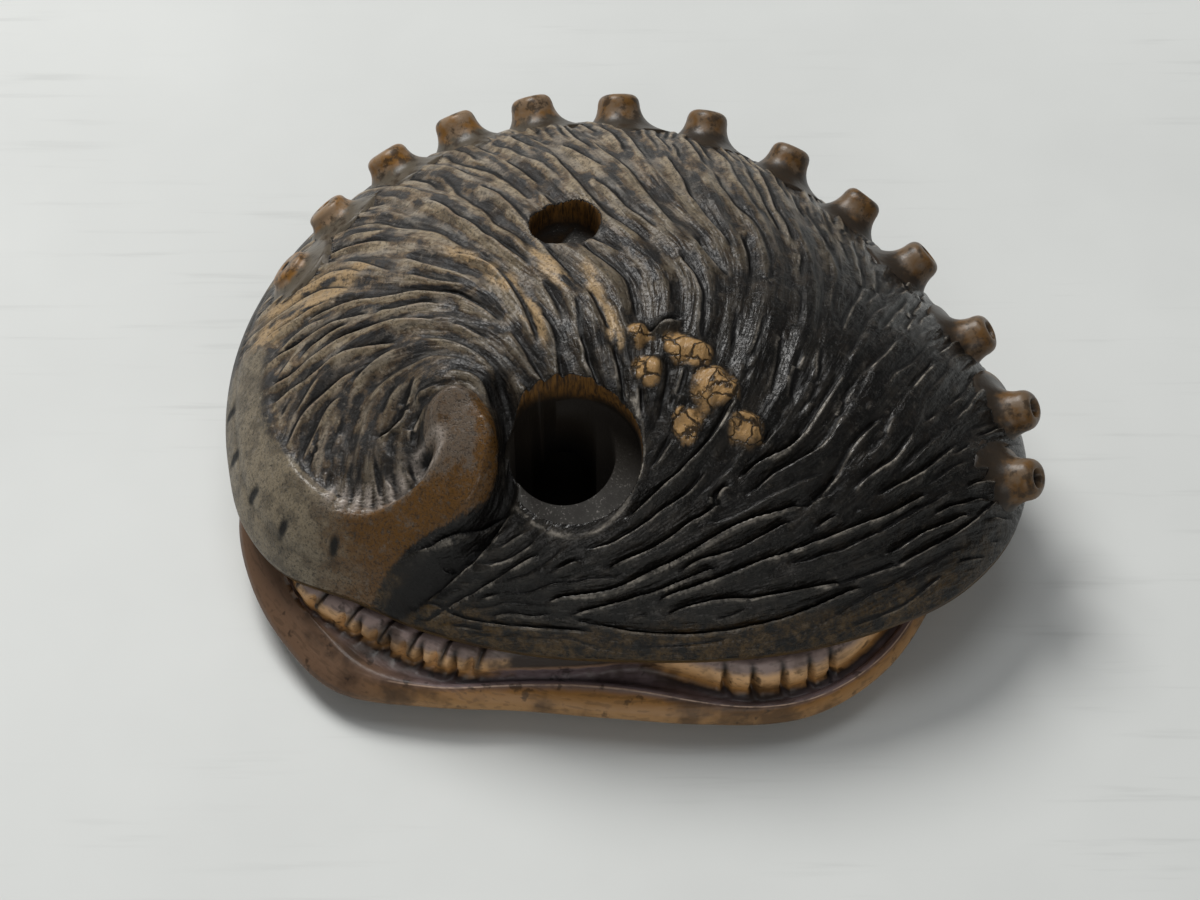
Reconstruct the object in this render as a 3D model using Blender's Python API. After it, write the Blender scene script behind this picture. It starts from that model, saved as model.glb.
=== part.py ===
"""Netsuke carved from one piece of wood as an abalone shell with its foot showing below.

+X runs along the shell to the end with the open pores, +Y to the side with the row of pores,
+Z up. The origin is on the table under the middle of the outline. Metres.
"""
import math

import bmesh
import bpy
import numpy as np
from mathutils import Vector

# Overall size. The free form is drawn in plan units U, 48.1 to the length, and height units V, 18 to
# the height
LENGTH = 0.048
HEIGHT = 0.018
U = LENGTH / 48.1
V = HEIGHT / 18.0
CROWN_HEIGHT = 18.0

# Cord holes and the flat that it rests on, each a size of its own
RECESS_RADIUS = 0.0038
RECESS_DEPTH = 0.0019
RECESS_TILT = 18.0
BORE_RADIUS = 0.00298
BORE_FLOOR = 0.0046
MOUTH_RADIUS = 0.00202
MOUTH_DEPTH = 0.0024
CHANNEL_RADIUS = 0.0017
SOLE_RADIUS = 0.0088
CUTTER_CLEARANCE = 0.004

# Open pores: short tubes with a crater
PORE_BASE = 0.00165
PORE_RIM = 0.00115
PORE_CRATER = 0.0006
PORE_HEIGHT = 0.0013
PORE_ROOT = 0.0013
CRATER_DEPTH = 0.0009
PORE_SIDES = 10
PORE_ANGLES = (160, 147, 133, 120, 107, 92.5, 76.5, 59.5, 42, 25, 6.5, -8, -19.5)
PORE_ROW = 0.92
PORE_ROW_END = 0.975
LOW_PORES = {160: 0.35, 147: 0.6, 133: 0.85}
PORE_LEAN_FAR = 40.0
PORE_LEAN_NEAR = 30.0

# Plan of the shell's edge, of the foot's brim and of the frill: (degrees, radius) in U
OUTLINE_CENTRE = (0.0, 2.5)
CROWN = (0.5, 0.5)
EDGE = ((-170, 24.3), (-157, 24.3), (-149, 23.6), (-140, 21.6), (-126, 20.2), (-108, 19.0), (-90, 18.5),
        (-72, 19.3), (-52, 21.3), (-36, 23.3), (-22, 24.0), (-8, 23.2), (8, 20.9), (28, 19.5), (50, 19.6),
        (72, 20.8), (92, 22.1), (112, 23.2), (135, 23.9), (162, 24.3))
BRIM = ((-175, 23.0), (-164, 24.3), (-155, 24.8), (-144, 25.0), (-134, 24.8), (-122, 22.5), (-110, 20.6),
        (-95, 20.0), (-80, 20.6), (-62, 22.1), (-48, 22.0), (-36, 21.3), (-20, 20.6), (0, 19.4), (25, 18.2),
        (55, 18.0), (90, 19.8), (120, 21.4), (150, 22.4))
FRILL = ((-165, 22.6), (-152, 23.4), (-144, 22.7), (-136, 21.8), (-128, 21.1), (-120, 20.3), (-110, 18.8),
         (-98, 17.7), (-90, 17.3), (-82, 17.9), (-72, 19.7), (-64, 20.5), (-56, 20.8), (-48, 20.6),
         (-36, 20.2), (-20, 20.0), (0, 18.6), (30, 17.6), (60, 17.7), (95, 19.6), (125, 21.0), (160, 22.2))
CREASE_INSET = ((-165, 0.5), (-125, 0.5), (-110, 1.0), (-97, 1.3), (-86, 1.1), (-76, 0.6), (-60, 0.4),
                (-30, 0.4), (90, 0.5))

GROOVE_DEPTH = 2.6
HOLLOW_WIDTH = 0.6

# Heights in V: the shell's edge, the frill's crest and the brim's crease, by direction
EDGE_HEIGHT = ((-165, 5.6), (-140, 5.4), (-110, 5.6), (-90, 5.6), (-60, 5.7), (-35, 6.0), (0, 6.4), (60, 6.6),
               (120, 6.6), (170, 6.0))
CREASE_HEIGHT = ((-165, 4.0), (-140, 3.2), (-110, 3.1), (-90, 3.2), (-70, 2.9), (-50, 3.2), (-35, 4.0),
                 (0, 4.2), (60, 4.2), (120, 4.2), (165, 4.3))
DOME_POWER = 2.2
DOME_ROOT = 0.75

# The raised band that winds out of the whorl, from its head: (x, y, half width, rise), in U and V
BAND = ((-9.9, -5.0, 1.3, 0.6), (-9.1, -7.2, 1.8, 1.2), (-9.6, -9.5, 1.9, 1.2), (-12.0, -10.9, 1.9, 0.8),
        (-15.2, -10.9, 1.9, 0.6), (-18.6, -9.3, 2.0, 0.5), (-21.2, -6.0, 2.0, 0.4), (-22.8, -1.6, 2.0, 0.3),
        (-23.0, 3.0, 1.9, 0.2))
SUTURE = ((-7.6, -4.6, 0.7, 0.9), (-7.0, -7.2, 0.8, 1.5), (-7.1, -9.8, 0.8, 1.5), (-8.6, -11.4, 0.8, 1.2),
          (-11.0, -12.4, 0.8, 0.8), (-13.8, -12.9, 0.7, 0.4))
WHORL_CENTRE = (-15.6, -4.6)
WHORL_RADIUS = 5.2
WHORL_SINK = 1.1

# Growth folds run along these lines, from the shell's edge in towards the whorl, in U
GUIDES = (
    ((21.5, -8.1), (14.8, -12.5), (9.1, -14.7), (-2.0, -15.3), (-8.7, -13.8)),
    ((19.5, 6.4), (15.0, -2.9), (11.9, -7.8), (7.9, -11.1), (3.5, -12.8), (-2.0, -14.2), (-7.6, -14.0)),
    ((5.6, 23.5), (6.7, 10.4), (7.8, 5.1), (7.0, -1.8), (5.2, -6.2), (0.2, -10.9), (-4.2, -12.5)),
    ((-6.0, 19.4), (-3.2, 12.9), (-0.7, 7.8), (2.9, 2.2), (2.5, -3.5), (0.2, -9.7), (-6.4, -12.8)),
    ((-12.7, 12.1), (-9.2, 7.7), (-6.6, 4.1), (-3.5, 0.0), (-2.0, -5.2)),
    ((-22.6, 9.7), (-17.5, 9.2), (-12.5, 6.1), (-7.9, 2.4), (-6.1, -0.8)),
    ((-19.6, -7.3), (-19.1, -3.9), (-17.5, -0.9), (-13.4, 0.1), (-7.6, -2.6), (-6.4, -4.2)),
    ((-13.2, -9.2), (-13.4, -7.1), (-13.0, -4.6), (-10.9, -3.7), (-8.7, -4.5), (-7.5, -8.2)),
)
GUIDE_CORE = 0.6
FOLD_DEPTH = 0.55
FOLD_WIDTH = 0.95
FOLD_FIRST = 196.0
FOLD_LAST = -40.0
FOLD_SPACING = 8.5
FOLD_START = 0.93
FOLD_FADE_IN = 7.0
FOLD_FADE_OUT = 12.0
FOLD_STEPS = 82
FOLD_STEP = 0.5
WHORL_STARTS = ((-20.6, -5.0), (-19.0, -7.6), (-16.4, -8.6))

# Barnacles: (x, y, radius, rise), in U and V; every raised or sunk form runs out past its own width
# by the soft edge
SOFT_EDGE = 1.3
BARNACLES = ((0.1, -2.3, 0.75, 0.5), (0.7, -4.6, 0.9, 0.5), (2.4, -3.3, 0.95, 0.55), (3.6, -3.7, 0.8, 0.5),
             (4.3, -5.6, 1.3, 0.9), (2.9, -7.5, 0.9, 0.45), (6.1, -7.5, 1.0, 0.55))

# Cord holes: where they open, in U
RECESS_AT = (-3.5, -8.7)
BORE_BEARING = 135.0
MOUTH_AT = (-4.0, 6.8)

# Frill: notches cut in its two stretches, as bearings from and to, and their pitch in U
FRILL_STRETCHES = ((-158, -102), (-74, -40))
FRILL_PITCH = 1.8
FRILL_NOTCH = 0.42
FRILL_RUN_OUT = 4.0
NOTCH_SHARE = 0.31

# Mesh
DOME_RINGS = 72
FLESH_ROWS = 44
RIM_FADE = 0.06
KEPT_SHARE = 0.072
ROUND_SIDES = 32

WOOD = (0.045, 0.030, 0.020)
WOOD_ROUGHNESS = 0.45


def clear_scene():
    for item in list(bpy.data.objects):
        bpy.data.objects.remove(item, do_unlink=True)


def new_collection(name):
    collection = bpy.data.collections.new(name)
    bpy.context.scene.collection.children.link(collection)
    return collection


def around(points, bearing):
    """Periodic smooth curve through (degrees, value) points: cubic pieces whose slopes are the
    slopes between neighbours."""
    known = np.array(sorted(points), float)
    angle = np.concatenate([known[-2:, 0] - 360, known[:, 0], known[:3, 0] + 360])
    value = np.concatenate([known[-2:, 1], known[:, 1], known[:3, 1]])
    slope = np.gradient(value, angle)
    at = (np.asarray(bearing, float) - known[0, 0]) % 360 + known[0, 0]
    i = np.clip(np.searchsorted(angle, at, side="right") - 1, 0, len(angle) - 2)
    width = angle[i + 1] - angle[i]
    s = (at - angle[i]) / width
    return ((2 * s**3 - 3 * s**2 + 1) * value[i] + (s**3 - 2 * s**2 + s) * width * slope[i]
            + (3 * s**2 - 2 * s**3) * value[i + 1] + (s**3 - s**2) * width * slope[i + 1])


def curve_through(points, count):
    """Smooth open curve of evenly spread samples through points of any width."""
    known = np.array(points, float)
    reach = np.concatenate([[0], np.cumsum(np.hypot(*np.diff(known[:, :2], axis=0).T))])
    slope = np.gradient(known, reach, axis=0)
    at = np.linspace(0, reach[-1], count)
    i = np.clip(np.searchsorted(reach, at, side="right") - 1, 0, len(reach) - 2)
    width = (reach[i + 1] - reach[i])[:, None]
    s = (at - reach[i])[:, None] / width
    return ((2 * s**3 - 3 * s**2 + 1) * known[i] + (s**3 - 2 * s**2 + s) * width * slope[i]
            + (3 * s**2 - 2 * s**3) * known[i + 1] + (s**3 - s**2) * width * slope[i + 1])


def nearest(plan, samples):
    """Distance from each plan point to its nearest sample, and which sample that is."""
    away = np.hypot(plan[..., 0, None] - samples[:, 0], plan[..., 1, None] - samples[:, 1])
    which = away.argmin(-1)
    return np.take_along_axis(away, which[..., None], -1)[..., 0], which


def rounded(x):
    """Bump that is 1 at 0 and falls smoothly to 0 at 1."""
    return np.clip(1 - x * x, 0, 1) ** 2


def dome(bearing, share):
    """The bare shell over plan bearing and share of the way out, in U, U and V: height falls from
    the crown to the edge as (1 - share^power)^root."""
    radius = around(EDGE, bearing)
    edge = around(EDGE_HEIGHT, bearing)
    turn = np.radians(bearing)
    x = CROWN[0] * (1 - share) + OUTLINE_CENTRE[0] * share + radius * share * np.cos(turn)
    y = CROWN[1] * (1 - share) + OUTLINE_CENTRE[1] * share + radius * share * np.sin(turn)
    z = edge + (CROWN_HEIGHT - edge) * (1 - share**DOME_POWER) ** DOME_ROOT
    return np.stack([x, y, z], -1)


def dome_at(plan, rounds=14):
    """Point of the bare shell over one plan point: the share is solved for in rounds."""
    share = 0.5
    for _ in range(rounds):
        dx = plan[0] - CROWN[0] * (1 - share) - OUTLINE_CENTRE[0] * share
        dy = plan[1] - CROWN[1] * (1 - share) - OUTLINE_CENTRE[1] * share
        bearing = math.degrees(math.atan2(dy, dx))
        share = min(1.0, math.hypot(dx, dy) / float(around(EDGE, bearing)))
    return dome(np.array(bearing), np.array(share))


def flow(plan):
    """Direction of the growth folds: the mean of the guide lines' directions, by nearness."""
    total = np.zeros_like(plan)
    for guide in GUIDES:
        samples = curve_through(guide, 40)
        heading = np.gradient(samples, axis=0)
        heading /= np.hypot(heading[:, 0], heading[:, 1])[:, None]
        away, which = nearest(plan, samples)
        total += heading[which] / (away**2 + GUIDE_CORE)[..., None] ** 1.5
    return total / np.hypot(total[..., 0], total[..., 1])[..., None]


def fold_lines():
    """Folds drawn as a carver would: each starts at the shell's edge or at the band and follows
    the growth direction in; one sample to each step."""
    bearings = np.arange(FOLD_FIRST, FOLD_LAST, -FOLD_SPACING)
    rim = dome(bearings, np.full(len(bearings), FOLD_START))[:, :2]
    starts = np.concatenate([rim, np.array(WHORL_STARTS)])
    lines = [starts]
    for _ in range(FOLD_STEPS):
        lines.append(lines[-1] + FOLD_STEP * flow(lines[-1]))
    return np.stack(lines, 1)


def relief(plan):
    """Rise of the carving over the bare shell, in V, at plan points in U."""
    band = curve_through(BAND, 90)
    away, which = nearest(plan, band)
    on_band = rounded(away / (band[which, 2] * SOFT_EDGE))
    rise = on_band * band[which, 3]
    suture = curve_through(SUTURE, 60)
    away, which = nearest(plan, suture)
    rise -= suture[which, 3] * rounded(away / (suture[which, 2] * SOFT_EDGE))
    from_whorl = np.hypot(plan[..., 0] - WHORL_CENTRE[0], plan[..., 1] - WHORL_CENTRE[1])
    rise -= WHORL_SINK * rounded(from_whorl / WHORL_RADIUS) * (1 - on_band)
    lines = fold_lines()
    away, which = nearest(plan, lines.reshape(-1, 2))
    step = which % (FOLD_STEPS + 1)
    fade = np.clip(step / FOLD_FADE_IN, 0, 1) * np.clip((FOLD_STEPS - step) / FOLD_FADE_OUT, 0, 1)
    rise -= FOLD_DEPTH * rounded(away / FOLD_WIDTH) * (1 - on_band) * fade
    for x, y, radius, height in BARNACLES:
        rise += height * rounded(np.hypot(plan[..., 0] - x, plan[..., 1] - y) / (radius * SOFT_EDGE))
    return rise


def frill_notches(bearing, row):
    """Saw cut across the frill in its two stretches, 0 to 1; row shifts the lower cuts by half a
    pitch."""
    cut = np.zeros_like(bearing)
    for first, last in FRILL_STRETCHES:
        inside = np.clip(np.minimum(bearing - first, last - bearing) / FRILL_RUN_OUT, 0, 1)
        along = np.radians(bearing) * around(FRILL, bearing) / FRILL_PITCH + 0.5 * row
        cut = np.maximum(cut, inside * np.clip(1 - np.abs(along % 1 - 0.5) / NOTCH_SHARE, 0, 1))
    return cut


def flesh_profile(bearing):
    """Points down the side below the shell's edge, at each bearing, in U and V: from the lip through
    the groove, the frill, the foot's hollow top and the brim to the underside."""
    edge, brim, frill = around(EDGE, bearing), around(BRIM, bearing), around(FRILL, bearing)
    lip, crease = around(EDGE_HEIGHT, bearing), around(CREASE_HEIGHT, bearing)
    upper, lower = frill_notches(bearing, 0), frill_notches(bearing, 1)
    inset = around(CREASE_INSET, bearing)
    inner = np.minimum(edge, brim) - GROOVE_DEPTH
    crest = np.minimum(frill, brim - inset - HOLLOW_WIDTH)
    sole = SOLE_RADIUS / U
    shell_lip = ((edge, lip), (edge - 0.15, lip - 0.45), (edge - 0.6, lip - 0.75), (inner, lip - 0.85))
    frill_face = (
        (inner + 0.4 * (crest - inner), lip - 0.75 - 0.3 * upper),
        (crest - 0.75 - FRILL_NOTCH * upper, lip - 0.62 - 0.5 * upper),
        (crest - 0.3 - FRILL_NOTCH * (upper + 0.4 * lower), lip - 0.95),
        (crest + 0.1 - FRILL_NOTCH * lower, 0.5 * (lip + crease) - 0.5),
        (crest + 0.05 - FRILL_NOTCH * lower, crease - 0.2),
    )
    hollow_top = ((0.5 * (crest + brim - inset) - 0.05, crease - 0.42), (brim - inset - 0.4, crease - 0.12))
    brim_side = ((brim - inset, crease), (brim - 0.45 * inset, crease - 0.35), (brim, crease - 1.1),
                 (brim - 0.8, 1.15))
    underside = ((brim - 2.6, 0.62), (0.45 * (brim - 2.6) + 0.55 * sole, 0.2))
    rows = shell_lip + frill_face + hollow_top + brim_side + underside
    radius = np.stack([np.broadcast_to(r, bearing.shape) for r, _ in rows])
    height = np.stack([np.broadcast_to(z, bearing.shape) for _, z in rows])
    return radius, height


def resample(values, count):
    """Smooth curve down the first axis, sampled at count even steps of the row number."""
    rows = len(values)
    slope = np.gradient(values, axis=0)
    at = np.linspace(0, rows - 1, count)
    i = np.clip(at.astype(int), 0, rows - 2)
    s = (at - i)[:, None]
    return ((2 * s**3 - 3 * s**2 + 1) * values[i] + (s**3 - 2 * s**2 + s) * slope[i]
            + (3 * s**2 - 2 * s**3) * values[i + 1] + (s**3 - s**2) * slope[i + 1])


def disc_grid(rings):
    """Even square grid bent to a disc: each square ring of points becomes a circle. Gives bearing in
    degrees and share of the way out, for (2 rings + 1) by (2 rings + 1) points."""
    step = np.linspace(-1, 1, 2 * rings + 1)
    a, b = np.meshgrid(step, step, indexing="ij")
    share = np.maximum(np.abs(a), np.abs(b))
    wide = np.abs(a) >= np.abs(b)
    ratio = np.where(wide, b, a) / np.where(share == 0, 1, np.where(wide, a, b))
    bearing = np.where(wide, 45 * ratio + np.where(a < 0, 180, 0), 90 - 45 * ratio + np.where(b < 0, 180, 0))
    return bearing, share


def carved_mesh():
    """The bent grid is the shell's top, and rings of as many points as its border run on from it down
    the flesh to one flat face under the sole."""
    bearing, share = disc_grid(DOME_RINGS)
    over = dome(bearing, share)
    over[..., 2] += relief(over[..., :2]) * np.clip((1 - share) / RIM_FADE, 0, 1)
    side = 2 * DOME_RINGS
    number = np.arange((side + 1) ** 2).reshape(side + 1, side + 1)
    border = np.concatenate([number[-1, :-1], number[:0:-1, -1], number[0, :0:-1], number[:-1, 0]])
    turn = np.radians(bearing.ravel()[border])
    radius, height = flesh_profile((np.degrees(turn) + 180) % 360 - 180)
    radius, height = resample(radius, FLESH_ROWS)[1:], resample(height, FLESH_ROWS)[1:]
    under = np.stack([OUTLINE_CENTRE[0] + radius * np.cos(turn), OUTLINE_CENTRE[1] + radius * np.sin(turn),
                      height], -1)
    drawn = np.concatenate([over.reshape(-1, 3), under.reshape(-1, 3)]) * np.array([U, U, V])
    sole = np.stack([OUTLINE_CENTRE[0] * U + SOLE_RADIUS * np.cos(turn),
                     OUTLINE_CENTRE[1] * U + SOLE_RADIUS * np.sin(turn), np.zeros(len(turn))], -1)
    points = np.concatenate([drawn, sole])
    top = np.stack([number[:-1, :-1], number[1:, :-1], number[1:, 1:], number[:-1, 1:]], -1)
    below = number.size + np.arange(FLESH_ROWS * len(turn)).reshape(FLESH_ROWS, len(turn))
    rings = np.concatenate([border[None], below])
    after = np.roll(rings, -1, axis=1)
    skirt = np.stack([rings[:-1], rings[1:], after[1:], after[:-1]], -1)
    faces = top.reshape(-1, 4).tolist() + skirt.reshape(-1, 4).tolist() + [rings[-1, ::-1].tolist()]
    mesh = bpy.data.meshes.new("carved_form")
    mesh.from_pydata(points.tolist(), [], faces)
    mesh.update()
    return mesh


def turned(profile, sides):
    """Closed solid of revolution about Z from (radius, height) points, first and last on the axis."""
    work = bmesh.new()
    rings = []
    for radius, height in profile:
        if radius == 0:
            rings.append([work.verts.new((0, 0, height))])
        else:
            rings.append([work.verts.new((radius * math.cos(2 * math.pi * k / sides),
                                          radius * math.sin(2 * math.pi * k / sides), height))
                          for k in range(sides)])
    for low, high in zip(rings, rings[1:]):
        for k in range(sides):
            after = (k + 1) % sides
            loop = [low[k % len(low)], low[after % len(low)], high[after % len(high)], high[k % len(high)]]
            work.faces.new(list(dict.fromkeys(loop)))
    bmesh.ops.recalc_face_normals(work, faces=work.faces)
    return work


def aimed(origin, direction):
    """Matrix that stands local Z along a direction at a point."""
    matrix = Vector(direction).to_track_quat("Z", "Y").to_matrix().to_4x4()
    matrix.translation = Vector(origin)
    return matrix


def pore_mesh():
    """The row of open pores: turned tubes with craters, leaning out from the shell."""
    whole = bmesh.new()
    for bearing in PORE_ANGLES:
        size = LOW_PORES.get(bearing, 1.0)
        nearness = (90 - bearing) / 110 if bearing < 90 else 0.0
        row = PORE_ROW + (PORE_ROW_END - PORE_ROW) * nearness**2
        seat = dome(np.array(float(bearing)), np.array(row)) * np.array([U, U, V])
        lean = math.radians(PORE_LEAN_FAR + (PORE_LEAN_NEAR - PORE_LEAN_FAR) * nearness)
        turn = math.radians(bearing)
        direction = (math.cos(turn) * math.cos(lean), math.sin(turn) * math.cos(lean), math.sin(lean))
        tall = PORE_HEIGHT * size
        profile = ((0, -PORE_ROOT), (PORE_BASE * 0.9, -PORE_ROOT), (PORE_BASE * 0.82, 0.15 * tall),
                   (PORE_RIM * 1.02, 0.6 * tall), (PORE_RIM, 0.92 * tall), (PORE_RIM * 0.82, tall),
                   (PORE_CRATER, 0.96 * tall), (PORE_CRATER * 0.75, tall - CRATER_DEPTH * size),
                   (0, tall - CRATER_DEPTH * size))
        tube = turned(profile, PORE_SIDES)
        bmesh.ops.transform(tube, matrix=aimed(seat, direction), verts=tube.verts)
        piece = bpy.data.meshes.new("pore")
        tube.to_mesh(piece)
        tube.free()
        whole.from_mesh(piece)
        bpy.data.meshes.remove(piece)
    mesh = bpy.data.meshes.new("pores")
    whole.to_mesh(mesh)
    whole.free()
    return mesh


def add_object(name, mesh, collection):
    item = bpy.data.objects.new(name, mesh)
    collection.objects.link(item)
    return item


def hide_cutter(item):
    item.hide_render = True
    item.display_type = "WIRE"


def cord_hole_cutters(collection):
    """Counterbore square to the slope, bore straight down inside it, and a slanting channel from the
    small mouth that meets the foot of the bore."""
    tilt = math.radians(RECESS_TILT)
    out = np.array([0.0, -math.sin(tilt), math.cos(tilt)])
    rim = dome_at(RECESS_AT) * np.array([U, U, V])
    floor = rim - RECESS_DEPTH * out
    bearing = math.radians(BORE_BEARING)
    shift = RECESS_RADIUS - BORE_RADIUS
    bore = floor + shift * np.array([math.cos(bearing), math.sin(bearing) * math.cos(tilt),
                                     math.sin(bearing) * math.sin(tilt)])
    over = HEIGHT + CUTTER_CLEARANCE
    mouth = dome_at(MOUTH_AT) * np.array([U, U, V])
    turnover = mouth - np.array([0, 0, MOUTH_DEPTH])
    meeting = np.array([bore[0], bore[1], BORE_FLOOR + CHANNEL_RADIUS])
    reach = float(np.linalg.norm(turnover - meeting))
    cutters = (
        ("recess_cutter", floor, out, RECESS_RADIUS, over - floor[2]),
        ("bore_cutter", np.array([bore[0], bore[1], BORE_FLOOR]), (0, 0, 1), BORE_RADIUS, over - BORE_FLOOR),
        ("mouth_cutter", turnover, (0, 0, 1), MOUTH_RADIUS, over - turnover[2]),
        ("channel_cutter", meeting, turnover - meeting, CHANNEL_RADIUS, reach),
    )
    made = []
    for name, origin, direction, radius, tall in cutters:
        work = turned(((0, 0), (radius, 0), (radius, tall), (0, tall)), ROUND_SIDES)
        bmesh.ops.transform(work, matrix=aimed(origin, tuple(direction)), verts=work.verts)
        mesh = bpy.data.meshes.new(name)
        work.to_mesh(mesh)
        work.free()
        cutter = add_object(name, mesh, collection)
        hide_cutter(cutter)
        made.append(cutter)
    return made


def add_boolean(target, other, operation):
    change = target.modifiers.new(other.name, "BOOLEAN")
    change.operation = operation
    change.solver = "EXACT"
    change.object = other


def wood():
    material = bpy.data.materials.new("stained_wood")
    material.use_nodes = True
    shader = material.node_tree.nodes["Principled BSDF"]
    shader.inputs["Base Color"].default_value = (*WOOD, 1)
    shader.inputs["Roughness"].default_value = WOOD_ROUGHNESS
    shader.inputs["Metallic"].default_value = 0
    return material


def main():
    clear_scene()
    parts = new_collection("netsuke")
    tools = new_collection("cutters")
    carving = add_object("netsuke", carved_mesh(), parts)
    carving.data.materials.append(wood())
    thin = carving.modifiers.new("fewer_faces", "DECIMATE")
    thin.ratio = KEPT_SHARE
    pores = add_object("pore_tubes", pore_mesh(), tools)
    hide_cutter(pores)
    add_boolean(carving, pores, "UNION")
    for cutter in cord_hole_cutters(tools):
        add_boolean(carving, cutter, "DIFFERENCE")
    carving.data.shade_smooth()
    corners = np.array([vert.co[:] for item in (carving, pores) for vert in item.data.vertices])
    middle = (corners.min(0) + corners.max(0)) / 2
    for item in (*parts.objects, *tools.objects):
        item.location = (-middle[0], -middle[1], 0)


main()
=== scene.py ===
"""Looks of a netsuke carved from one piece of wood as an abalone shell with its foot below, stained
nearly black and worn brown.

One mesh stands for the solid and keeps its form: the shell is an even square grid bent to a disc and
lifted over the plan, rings run on from its border down the foot, and the carver's folds, the pores and
the cord holes are worked into it. Plan units are U and heights are V, as in the solid's own source.
+X runs to the end with the open pores, +Y to the side with their row, +Z up. Metres.
"""

import math

import bpy
import numpy as np
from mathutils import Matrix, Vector


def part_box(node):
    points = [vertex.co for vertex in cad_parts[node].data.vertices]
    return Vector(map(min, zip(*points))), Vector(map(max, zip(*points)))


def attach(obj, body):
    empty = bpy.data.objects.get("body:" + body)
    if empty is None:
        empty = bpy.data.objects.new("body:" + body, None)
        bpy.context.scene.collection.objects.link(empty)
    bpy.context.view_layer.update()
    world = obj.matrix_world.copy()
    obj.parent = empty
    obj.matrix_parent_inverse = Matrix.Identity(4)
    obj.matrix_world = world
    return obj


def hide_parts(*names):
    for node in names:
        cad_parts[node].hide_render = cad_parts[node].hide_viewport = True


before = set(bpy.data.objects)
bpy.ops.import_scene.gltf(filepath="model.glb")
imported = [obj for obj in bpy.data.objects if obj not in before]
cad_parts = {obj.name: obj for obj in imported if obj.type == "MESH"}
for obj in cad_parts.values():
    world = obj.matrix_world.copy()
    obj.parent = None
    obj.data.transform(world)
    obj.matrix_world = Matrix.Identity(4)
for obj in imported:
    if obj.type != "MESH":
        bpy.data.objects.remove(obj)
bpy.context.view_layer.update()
low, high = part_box("netsuke")

# The free form's units, from the solid: 48.1 U to the length and 18 V to the height. The form's own
# origin lies this far from the frame's, in U
U = (high.x - low.x) / 48.1
V = high.z / 18.0
FORM_SHIFT = (0.2665, -3.4783)
CROWN_HEIGHT = 18.0

# Cord holes and the flat that it rests on
RECESS_RADIUS = 0.0038
RECESS_DEPTH = 0.0019
RECESS_TILT = 18.0
BORE_RADIUS = 0.00298
BORE_FLOOR = 0.0046
MOUTH_RADIUS = 0.00202
MOUTH_DEPTH = 0.0024
CHANNEL_RADIUS = 0.0017
SOLE_RADIUS = 0.0088
CUTTER_CLEARANCE = 0.004
RECESS_AT = (-3.5, -8.7)
BORE_BEARING = 135.0
MOUTH_AT = (-4.0, 6.8)
HOLE_SIDES = 120
HOLE_ROW = 0.00025
HOLE_WOBBLE = 0.004

# Open pores
PORE_BASE = 0.00172
PORE_RIM = 0.00123
PORE_CRATER = 0.0006
PORE_HEIGHT = 0.0013
PORE_ROOT = 0.0013
CRATER_DEPTH = 0.0009
PORE_SIDES = 56
PORE_FLARE = 0.0013
PORE_STAND = 1.42
PORE_INWARD = 0.02
PORE_ANGLES = (160, 147, 133, 120, 107, 92.5, 76.5, 59.5, 42, 25, 6.5, -8, -19.5)
PORE_ROW = 0.92
PORE_ROW_END = 0.975
LOW_PORES = {160: 0.35, 147: 0.6, 133: 0.85}
PORE_LEAN_FAR = 40.0
PORE_LEAN_NEAR = 30.0

# Plan of the shell's edge, of the foot's brim and of the frill: (degrees, radius) in U
OUTLINE_CENTRE = (0.0, 2.5)
CROWN = (0.5, 0.5)
EDGE = ((-170, 24.3), (-157, 24.3), (-149, 23.6), (-140, 21.6), (-126, 20.2), (-108, 19.0), (-90, 18.5),
        (-72, 19.3), (-52, 21.3), (-36, 23.3), (-22, 24.0), (-8, 23.2), (8, 20.9), (28, 19.5), (50, 19.6),
        (72, 20.8), (92, 22.1), (112, 23.2), (135, 23.9), (162, 24.3))
BRIM = ((-175, 23.0), (-164, 24.3), (-155, 24.8), (-144, 25.0), (-134, 24.8), (-122, 22.5), (-110, 20.6),
        (-95, 20.0), (-80, 20.6), (-62, 22.1), (-48, 22.0), (-36, 21.3), (-20, 20.6), (0, 19.4), (25, 18.2),
        (55, 18.0), (90, 19.8), (120, 21.4), (150, 22.4))
FRILL = ((-165, 22.6), (-152, 23.4), (-144, 22.7), (-136, 21.8), (-128, 21.1), (-120, 20.3), (-110, 18.8),
         (-98, 17.7), (-90, 17.3), (-82, 17.9), (-72, 19.7), (-64, 20.5), (-56, 20.8), (-48, 20.6),
         (-36, 20.2), (-20, 20.0), (0, 18.6), (30, 17.6), (60, 17.7), (95, 19.6), (125, 21.0), (160, 22.2))
CREASE_INSET = ((-165, 0.5), (-125, 0.5), (-110, 1.0), (-97, 1.3), (-86, 1.1), (-76, 0.6), (-60, 0.4),
                (-30, 0.4), (90, 0.5))
GROOVE_DEPTH = 2.6
HOLLOW_WIDTH = 0.6

# Heights in V: the shell's edge and the brim's crease, by direction
EDGE_HEIGHT = ((-165, 5.6), (-140, 5.4), (-110, 5.6), (-90, 5.6), (-60, 5.7), (-35, 6.0), (0, 6.4),
               (60, 6.6), (120, 6.6), (170, 6.0))
CREASE_HEIGHT = ((-165, 4.0), (-140, 3.2), (-110, 3.1), (-90, 3.2), (-70, 2.9), (-50, 3.2), (-35, 4.0),
                 (0, 4.2), (60, 4.2), (120, 4.2), (165, 4.3))
DOME_POWER = 2.2
DOME_ROOT = 0.75

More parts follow.
